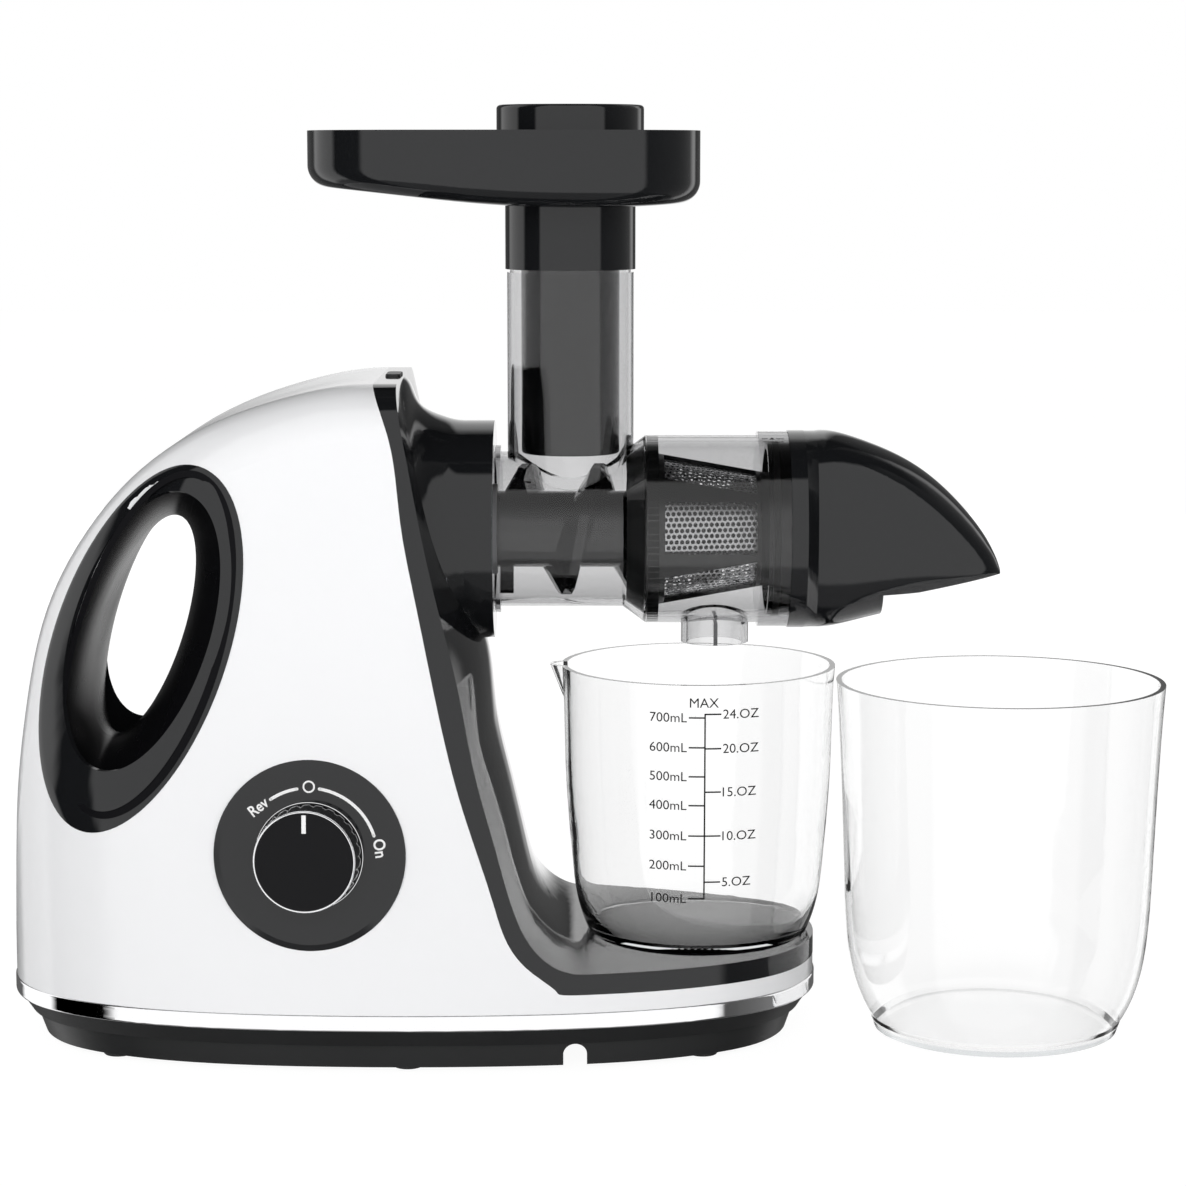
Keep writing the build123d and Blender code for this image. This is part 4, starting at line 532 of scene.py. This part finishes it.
# %% Foot ring of the knob
WIRE_RADIUS = 0.3 * MM
wire = bmesh.new()
bmesh.ops.create_circle(wire, segments=10, radius=WIRE_RADIUS)
bmesh.ops.rotate(wire, cent=(0, 0, 0), matrix=Matrix.Rotation(pi / 2, 3, "X"), verts=wire.verts)
bmesh.ops.translate(wire, vec=(KNOB_RADIUS + 0.35 * MM, 0, KNOB_BACK + WIRE_RADIUS),
                    verts=wire.verts)
bmesh.ops.spin(wire, geom=[*wire.verts, *wire.edges], cent=(0, 0, 0), axis=(0, 0, 1), angle=2 * pi,
               steps=144, use_merge=True)
bmesh.ops.remove_doubles(wire, verts=wire.verts, dist=1e-7)
bmesh.ops.recalc_face_normals(wire, faces=wire.faces)
bmesh.ops.transform(wire, matrix=on_dial, verts=wire.verts)
add_piece("knob_wire", wire, "knob", "trim_chrome", 60, ["knob_ring"])

# %% [markdown]
# The pointer is a bar of white plastic let into the knob. It starts as a cube, scaled to its size
# and bevelled, and stands a hair proud of the front so that it catches the light.

# %% Pointer
POINTER_RADIUS = 14.4 * MM   # of the bar's middle
bar = bmesh.new()
bmesh.ops.create_cube(bar, size=1.0)
bmesh.ops.scale(bar, vec=(1.7 * MM, 7.0 * MM, 0.9 * MM), verts=bar.verts)
bmesh.ops.bevel(bar, geom=bar.edges[:], offset=0.12 * MM, segments=2, affect="EDGES",
                profile=0.5, material=-1)
bmesh.ops.translate(bar, vec=(0, POINTER_RADIUS, KNOB_FRONT - 0.37 * MM), verts=bar.verts)
bmesh.ops.transform(bar, matrix=on_dial, verts=bar.verts)
add_piece("pointer_bar", bar, "knob", "pointer_white", 30, ["knob_pointer"])

# %% [markdown]
# ## The dial's print
# Ink on a dial is a film a few hundredths of a millimetre thick. Each mark is a thin closed solid,
# so it can't flicker against the plate. The ring and the two arcs are turned from a small
# rectangle with spin, and the words are text made a mesh.

# %% Rings and arcs
INK = 0.05 * MM
ink_low = PLATE_PROUD - 0.01 * MM


def add_arc(shape, radius, width, start, end):
    """Adds a flat band round the z axis, from start to end degrees clockwise from the top."""
    made = bmesh.ops.create_grid(shape, x_segments=1, y_segments=1, size=0.5)
    corners = made["verts"]
    bmesh.ops.rotate(shape, cent=(0, 0, 0), matrix=Matrix.Rotation(pi / 2, 3, "X"), verts=corners)
    bmesh.ops.scale(shape, vec=(width, 1, INK), verts=corners)
    bmesh.ops.translate(shape, vec=(radius, 0, ink_low + INK / 2), verts=corners)
    bmesh.ops.rotate(shape, cent=(0, 0, 0), matrix=Matrix.Rotation(radians(90 - start), 3, "Z"),
                     verts=corners)
    face = corners[0].link_faces[0]
    sweep = radians(end - start)
    steps = max(8, int(degrees(sweep) / 3))
    full = abs(sweep - 2 * pi) < 1e-6
    bmesh.ops.spin(shape, geom=[face, *face.edges, *corners], cent=(0, 0, 0), axis=(0, 0, -1),
                   angle=sweep, steps=steps, use_merge=full)


def add_dot(shape, radius, place):
    """Adds a small round of ink, which rounds the end of an arc."""
    bmesh.ops.create_cone(shape, cap_ends=True, segments=20, radius1=radius, radius2=radius,
                          depth=INK, matrix=Matrix.Translation((*place, ink_low + INK / 2)))


def clock(radius, angle):
    """The point at a radius and an angle clockwise from the top."""
    return (radius * sin(radians(angle)), radius * cos(radians(angle)))


print("ink is", INK / MM, "mm thick")

# %% Words
HALF_DEPTH = 0.02            # of the text before it is scaled to its size


def flat_words(words, cap_height, weight=0.0, narrow=1.0):
    """Text as a closed flat mesh in a bmesh, its capitals that tall, centred on the origin."""
    curve = bpy.data.curves.new(words, "FONT")
    curve.body = words
    curve.extrude = HALF_DEPTH
    curve.offset = weight
    curve.resolution_u = 4
    curve.align_x = "CENTER"
    holder = bpy.data.objects.new(words, curve)
    data = bpy.data.meshes.new_from_object(holder)
    bpy.data.objects.remove(holder)
    shape = bmesh.new()
    shape.from_mesh(data)
    bpy.data.meshes.remove(data)
    bmesh.ops.remove_doubles(shape, verts=shape.verts, dist=1e-5)
    low = [min(v.co[i] for v in shape.verts) for i in range(3)]
    high = [max(v.co[i] for v in shape.verts) for i in range(3)]
    middle = Vector([(a + b) / 2 for a, b in zip(low, high)])
    size = cap_height / (high[1] - low[1])
    bmesh.ops.translate(shape, vec=-middle, verts=shape.verts)
    bmesh.ops.scale(shape, vec=(size * narrow, size, INK / (2 * HALF_DEPTH)), verts=shape.verts)
    return shape


def join_shape(shape, other):
    """Adds one bmesh to another."""
    data = bpy.data.meshes.new("joined")
    other.to_mesh(data)
    other.free()
    shape.from_mesh(data)
    bpy.data.meshes.remove(data)


print("text starts out", 2 * HALF_DEPTH, "thick")

# %% Print the dial
ARC_RADIUS = 26.2 * MM
ARC_WIDTH = 1.2 * MM
OFF_RADIUS = 2.05 * MM
OFF_WIDTH = 0.66 * MM
BOLD, NARROW = 0.018, 0.88
prints = bmesh.new()
for start, end in ((-34.0, -10.0), (9.0, 72.0)):
    add_arc(prints, ARC_RADIUS, ARC_WIDTH, start, end)
    for angle in (start, end):
        add_dot(prints, ARC_WIDTH / 2, clock(ARC_RADIUS, angle))
off_mark = bmesh.new()
add_arc(off_mark, OFF_RADIUS, OFF_WIDTH, 0, 360)
bmesh.ops.translate(off_mark, vec=(0, 26.7 * MM, 0), verts=off_mark.verts)
join_shape(prints, off_mark)
labels = [("Rev", 27.0, -45.8, 38, 4.4), ("On", 27.4, 83, -81, 4.7)]
for words, radius, angle, tilt, tall in labels:
    label = flat_words(words, tall * MM, BOLD, NARROW)
    bmesh.ops.rotate(label, cent=(0, 0, 0), matrix=Matrix.Rotation(radians(tilt), 3, "Z"),
                     verts=label.verts)
    x, y = clock(radius * MM, angle)
    bmesh.ops.translate(label, vec=(x, y, ink_low + INK / 2), verts=label.verts)
    join_shape(prints, label)
bmesh.ops.transform(prints, matrix=on_dial, verts=prints.verts)
add_piece("dial_print", prints, "housing", "pointer_white", 0)

# %% [markdown]
# ## The strainer's screen
# The screen is a steel sheet with staggered rows of round holes, rolled into a cone. A cone
# unrolls into a fan, so the pattern is laid out flat on that fan and then rolled up, as in the
# workshop. The rows run along the cone. One cell is a hexagon with a twelve-sided hole, made by
# insetting a face, and the rest are copies of it. Solidify gives the sheet its thickness.

# %% One cell of the sheet
PITCH = 2.16 * MM            # from hole to hole along a row
ROW_STEP = 2.2 * MM
HOLE_RADIUS = 0.88 * MM
SHEET = 0.35 * MM            # thickness
SCREEN_BACK, SCREEN_FRONT = 98.0 * MM, 140.0 * MM
RADIUS_BACK, RADIUS_FRONT = 28.4 * MM, 20.9 * MM
AXIS_Z = joints["auger_spin"]["pos_m"][2]
cell = bmesh.new()
ring = bmesh.ops.create_circle(cell, cap_ends=True, segments=12, radius=PITCH / sqrt(3))["verts"]
bmesh.ops.scale(cell, vec=(cos(pi / 6), cos(pi / 6), 1), verts=ring[0::2])
bmesh.ops.scale(cell, vec=(ROW_STEP / (PITCH * cos(pi / 6)), 1, 1), verts=ring)
bmesh.ops.inset_individual(cell, faces=cell.faces[:], thickness=0.25 * MM)
hole_face = min(cell.faces, key=lambda f: f.calc_center_median().length)
for vertex in hole_face.verts:
    bmesh.ops.translate(cell, vec=vertex.co.normalized() * HOLE_RADIUS - vertex.co,
                        verts=[vertex])
bmesh.ops.delete(cell, geom=[hole_face], context="FACES_ONLY")
print("a cell has", len(cell.faces), "faces")

# %% Lay the cells on the fan
slope = atan2(RADIUS_BACK - RADIUS_FRONT, SCREEN_FRONT - SCREEN_BACK)
far = RADIUS_BACK / sin(slope)
near = RADIUS_FRONT / sin(slope)
half_fan = pi * sin(slope)
cell_data = bpy.data.meshes.new("cell")
cell.to_mesh(cell_data)
cell.free()
screen = bmesh.new()
rows = int(far * sin(half_fan) / ROW_STEP) + 1
for row in range(-rows, rows + 1):
    for column in range(int(near * cos(half_fan) / PITCH) - 1, int(far / PITCH) + 1):
        x = row * ROW_STEP
        y = (column + 0.5 * (row % 2)) * PITCH
        distance, angle = sqrt(x * x + y * y), atan2(x, y)
        inside = near + 0.5 * PITCH < distance < far - 0.5 * PITCH
        if inside and abs(angle) < half_fan - 0.4 * PITCH / distance:
            first_new = len(screen.verts)
            screen.from_mesh(cell_data)
            screen.verts.ensure_lookup_table()
            bmesh.ops.translate(screen, vec=(x, y, 0), verts=screen.verts[first_new:])
bpy.data.meshes.remove(cell_data)
bmesh.ops.remove_doubles(screen, verts=screen.verts, dist=0.02 * MM)
print("the flat sheet has", len(screen.faces), "faces")

# %% Roll the sheet up
SEAM = radians(90)           # the seam's angle from the top
for vertex in screen.verts:
    distance = vertex.co.xy.length
    around = atan2(vertex.co.x, vertex.co.y) / sin(slope) + SEAM + pi
    radius = distance * sin(slope)
    vertex.co = (SCREEN_FRONT - (distance - near) * cos(slope), radius * sin(around),
                 AXIS_Z + radius * cos(around))
bmesh.ops.recalc_face_normals(screen, faces=screen.faces)
middle = Vector(((SCREEN_BACK + SCREEN_FRONT) / 2, 0, AXIS_Z))
outward_sum = sum((face.calc_center_median() - middle).dot(face.normal) for face in screen.faces)
if outward_sum < 0:
    bmesh.ops.reverse_faces(screen, faces=screen.faces)
bmesh.ops.solidify(screen, geom=screen.faces[:], thickness=SHEET)
add_piece("screen_sheet", screen, "drum", "steel", 40, ["strainer_screen"])

# %% [markdown]
# ## Marks on the juice cup
# The cup's scale is printed on the wall that faces the user. The marks are drawn flat, with x along
# the juicer and y up, and every point is then pressed against the wall by casting a ray at it. So
# the print follows the cup's slight belly without any measuring. Each bar has its faces turned
# outwards while it is flat, because that is hard to tell of a thin film once it is bent.

# %% Press a flat drawing on a wall
RAY_START = 0.3              # metres in front of the middle plane, or behind it
FILM_GAP = 0.04 * MM         # keeps a pressed piece clear of its wall


def wall_of(*nodes):
    """A tree of the faces of some solids that rays can be cast at."""
    points, faces = [], []
    for node in nodes:
        data = frame["nodes"][node].data
        faces += [[len(points) + i for i in face.vertices] for face in data.polygons]
        points += [vertex.co for vertex in data.vertices]
    return BVHTree.FromPolygons(points, faces)


def upright(way):
    """Where a ray starts for a point of an upright drawing: in front for 1, behind for -1."""
    return lambda p: Vector((p.x, -RAY_START * way, p.y))


def press_on(shape, wall, ray_from, ray_way):
    """Moves each point of a flat drawing onto a wall; z of the drawing is height over the wall."""
    for vertex in shape.verts:
        start = ray_from(vertex.co)
        hit, normal, _, _ = wall.ray_cast(start, ray_way)
        if normal.dot(ray_way) > 0:
            normal = -normal
        vertex.co = hit + normal * (FILM_GAP + vertex.co.z)


def faces_at(vertices):
    """The faces that meet at some points, each of them once."""
    return list(dict.fromkeys(face for vertex in vertices for face in vertex.link_faces))


def add_bar(shape, x0, y0, x1, y1, cuts):
    """Adds a thin flat bar with its faces outwards, cut across so that it can bend."""
    x_cuts, y_cuts = (cuts, 1) if x1 - x0 > y1 - y0 else (1, cuts)
    corners = bmesh.ops.create_grid(shape, x_segments=x_cuts, y_segments=y_cuts,
                                    size=0.5)["verts"]
    bmesh.ops.scale(shape, vec=(x1 - x0, y1 - y0, 1), verts=corners)
    bmesh.ops.translate(shape, vec=((x0 + x1) / 2, (y0 + y1) / 2, INK), verts=corners)
    made = bmesh.ops.extrude_face_region(shape, geom=faces_at(corners))["geom"]
    back = [item for item in made if isinstance(item, bmesh.types.BMVert)]
    bmesh.ops.translate(shape, vec=(0, 0, -INK), verts=back)
    bmesh.ops.recalc_face_normals(shape, faces=faces_at(corners + back))


print("pressing helpers ready")

# %% Draw the scale
LINE_X = 115.5 * MM
LINE_WIDTH = 0.6 * MM
TICK = 6.3 * MM
LABEL_START = 7.0 * MM       # from the line to the nearer end of a label
CAPITALS = 3.7 * MM
HALF = LINE_WIDTH / 2
marks = bmesh.new()
add_bar(marks, LINE_X - HALF, 64.0 * MM, LINE_X + HALF, 138.3 * MM, 30)
left_marks = [("700mL", 136.7), ("600mL", 124.9), ("500mL", 113.4), ("400mL", 101.9),
              ("300mL", 89.7), ("200mL", 77.5), ("100mL", 64.2)]
right_marks = [("24.OZ", 138.1), ("20.OZ", 124.5), ("15.OZ", 107.3), ("10.OZ", 89.7),
               ("5.OZ", 71.0)]
for labels, way in ((left_marks, -1), (right_marks, 1)):
    for words, level in labels:
        ends = sorted((LINE_X, LINE_X + way * TICK))
        add_bar(marks, ends[0], level * MM - HALF, ends[1], level * MM + HALF, 6)
        label = flat_words(words, CAPITALS)
        wide = max(v.co.x for v in label.verts)
        x = LINE_X + way * (LABEL_START + wide)
        bmesh.ops.translate(label, vec=(x, level * MM, INK / 2), verts=label.verts)
        join_shape(marks, label)
top_label = flat_words("MAX", CAPITALS)
bmesh.ops.translate(top_label, vec=(LINE_X - 0.3 * MM, 142.6 * MM, INK / 2), verts=top_label.verts)
join_shape(marks, top_label)
press_on(marks, wall_of("juice_cup"), upright(1), Vector((0, 1, 0)))
add_piece("cup_scale", marks, "juice_cup", "satin_black", 0, wears=[ink_black])

# %% [markdown]
# ## Locking marks
# A drum that locks with a turn has small arrows and bars where its rim meets the cap, which show
# when it is home. They are pressed on the rim in the same way, from above and a little in front.

# %% Draw the locking marks
FROM_TOP = radians(20)
RAY_HEIGHT = 0.08            # metres from the drum's axis
TIP_RADIUS = 1.2 * MM
HALF_BAR = 0.22              # millimetres
lock = bmesh.new()
for x0, x1, y in ((139.0, 141.2, 1.6), (144.4, 147.6, 1.6), (139.4, 147.4, -1.4)):
    add_bar(lock, x0 * MM, (y - HALF_BAR) * MM, x1 * MM, (y + HALF_BAR) * MM, 4)
bmesh.ops.create_cone(lock, cap_ends=True, segments=3, radius1=TIP_RADIUS, radius2=TIP_RADIUS,
                      depth=INK, matrix=Matrix.Translation((142.9 * MM, 1.6 * MM, INK / 2)))
above = Vector((0, -sin(FROM_TOP), cos(FROM_TOP)))
along = Vector((0, cos(FROM_TOP), sin(FROM_TOP)))
press_on(lock, wall_of("juice_drum"),
         lambda p: Vector((p.x, 0, AXIS_Z)) + above * RAY_HEIGHT + along * p.y, -above)
add_piece("drum_marks", lock, "drum", "satin_black", 0, wears=[ink_black])

# %% [markdown]
# ## The rim of the handle
# The hole of the handle is framed by a broad black rim that lies on the white shell like a washer.
# It is an ellipse leaning back by some twenty degrees, and it is broadest at its foot, where it
# reaches over the mouth of the hole. Six rings of points between its inner and outer outline are
# extruded one from the next and given a thickness. The rim is then pressed on a sheet, once from
# the front and once from the back. The sheet meets the shell along the outer outline and carries
# its shape on over the mouth, by a cubic fitted to the shell around the hole. Pressing from the
# back mirrors the drawing and so turns it inside out, which a negative volume shows.

# %% Outlines of the rim
# each outline: its middle, its half axes and its lean in degrees, in millimetres
INNER_OUTLINE = ((-100.9, 171.5), (57.0, 26.6), 20.0)
OUTER_OUTLINE = ((-102.4, 164.0), (75.6, 34.4), 20.8)
RIM_SIDES = 120
RIM_PROUD = 0.45 * MM
RIM_LIP = 1.5 * MM           # depth of the lip along the rim's inner edge
RIM_ROUND = 0.3 * MM         # how far the outer edge is let down


def outline_at(share):
    """The matrix from a unit circle to an ellipse between the inner and the outer outline."""
    (x0, y0), (a0, b0), tilt0 = INNER_OUTLINE
    (x1, y1), (a1, b1), tilt1 = OUTER_OUTLINE
    x, y, a, b, tilt = (p + (q - p) * share for p, q in zip((x0, y0, a0, b0, tilt0),
                                                            (x1, y1, a1, b1, tilt1)))
    return (Matrix.Translation((x * MM, y * MM, 0)) @ Matrix.Rotation(radians(-tilt), 4, "Z")
            @ Matrix.Diagonal((b * MM, a * MM, 1, 1)))


def flat_rim():
    """The rim as a flat closed washer, with a rounded outer edge."""
    rim = bmesh.new()
    first_ring = bmesh.ops.create_circle(rim, segments=RIM_SIDES, radius=1.0)["verts"]
    before = outline_at(0.0)
    bmesh.ops.transform(rim, matrix=before, verts=rim.verts)
    edges = rim.edges[:]
    for share in (0.2, 0.4, 0.6, 0.8, 0.94, 1.0):
        grown = bmesh.ops.extrude_edge_only(rim, edges=edges)["geom"]
        edges = [item for item in grown if isinstance(item, bmesh.types.BMEdge)]
        points = [item for item in grown if isinstance(item, bmesh.types.BMVert)]
        after = outline_at(share)
        bmesh.ops.transform(rim, matrix=after @ before.inverted(), verts=points)
        before = after
    outer = {vertex for edge in edges for vertex in edge.verts}
    lifted = bmesh.ops.extrude_face_region(rim, geom=rim.faces[:])["geom"]
    top = [item for item in lifted if isinstance(item, bmesh.types.BMVert)]
    bmesh.ops.translate(rim, vec=(0, 0, RIM_PROUD), verts=top)
    bmesh.ops.translate(rim, vec=(0, 0, -RIM_LIP), verts=first_ring)
    edge_points = [v for v in top if any((v.co.xy - w.co.xy).length < 1e-7 for w in outer)]
    bmesh.ops.translate(rim, vec=(0, 0, -RIM_ROUND), verts=edge_points)
    return rim


print("the rim has", RIM_SIDES, "sides")

# %% A sheet over the mouth of the hole
FIT_RINGS = (1.0, 1.1, 1.2, 1.3, 1.4)
SHEET_RINGS = (1.08, 1.0, 0.8, 0.6, 0.4, 0.2, 0.0, -0.08)
HOLE_MIDDLE = (-0.1, 0.165)  # x and height in metres
FACING = 0.5                 # least part of a wall's normal that points at the ray


def outline_points(share):
    """Points round an outline, as x and height."""
    place = outline_at(share)
    turns = [360 * i / RIM_SIDES for i in range(RIM_SIDES)]
    return [(place @ Vector(clock(1.0, angle)).to_3d()).xy for angle in turns]


def cubic_terms(point):
    """The ten terms of a cubic in x and height, in decimetres from the middle of the hole."""
    u, v = (point[0] - HOLE_MIDDLE[0]) * 10, (point[1] - HOLE_MIDDLE[1]) * 10
    return [u ** a * v ** b for a in range(4) for b in range(4 - a)]


def bridge(wall, way):
    """A sheet that meets the shell at the outer outline and carries its shape on inwards."""
    def depth_at(point):
        hit, normal, _, _ = wall.ray_cast(Vector((point[0], -RAY_START * way, point[1])),
                                          Vector((0, way, 0)))
        return hit.y if hit and abs(normal.y) > FACING else None

    around = [(p, depth_at(p)) for share in FIT_RINGS for p in outline_points(share)]
    known = [(cubic_terms(p), depth) for p, depth in around if depth is not None]
    terms, depths = zip(*known)
    cubic = np.linalg.lstsq(np.array(terms), np.array(depths), rcond=None)[0]
    edge = [depth_at(p) - float(np.dot(cubic_terms(p), cubic)) for p in outline_points(1.0)]
    print("the cubic misses the shell by up to", round(max(map(abs, edge)) / MM, 2), "mm")
    points = []
    for share in SHEET_RINGS:
        for p, miss in zip(outline_points(share), edge):
            points.append(Vector((p[0], float(np.dot(cubic_terms(p), cubic)) + miss, p[1])))
    faces = []
    for start in range(0, RIM_SIDES * (len(SHEET_RINGS) - 1), RIM_SIDES):
        for i in range(RIM_SIDES):
            this, after = start + i, start + (i + 1) % RIM_SIDES
            faces.append((this, after, after + RIM_SIDES, this + RIM_SIDES))
    return BVHTree.FromPolygons(points, faces)


print("the sheet has", len(SHEET_RINGS), "rings")

# %% Press both rims on
for side_name, way in (("front", 1), ("rear", -1)):
    rim = flat_rim()
    sheet = bridge(wall_of(f"body_shell_{side_name}", f"handle_liner_{side_name}"), way)
    press_on(rim, sheet, upright(way), Vector((0, way, 0)))
    bmesh.ops.recalc_face_normals(rim, faces=rim.faces)
    if rim.calc_volume(signed=True) < 0:
        bmesh.ops.reverse_faces(rim, faces=rim.faces)
    add_piece(f"handle_rim_{side_name}", rim, "housing", "gloss_black", 40)

# %% [markdown]
# ## Finish

# %% Finish
print("done")
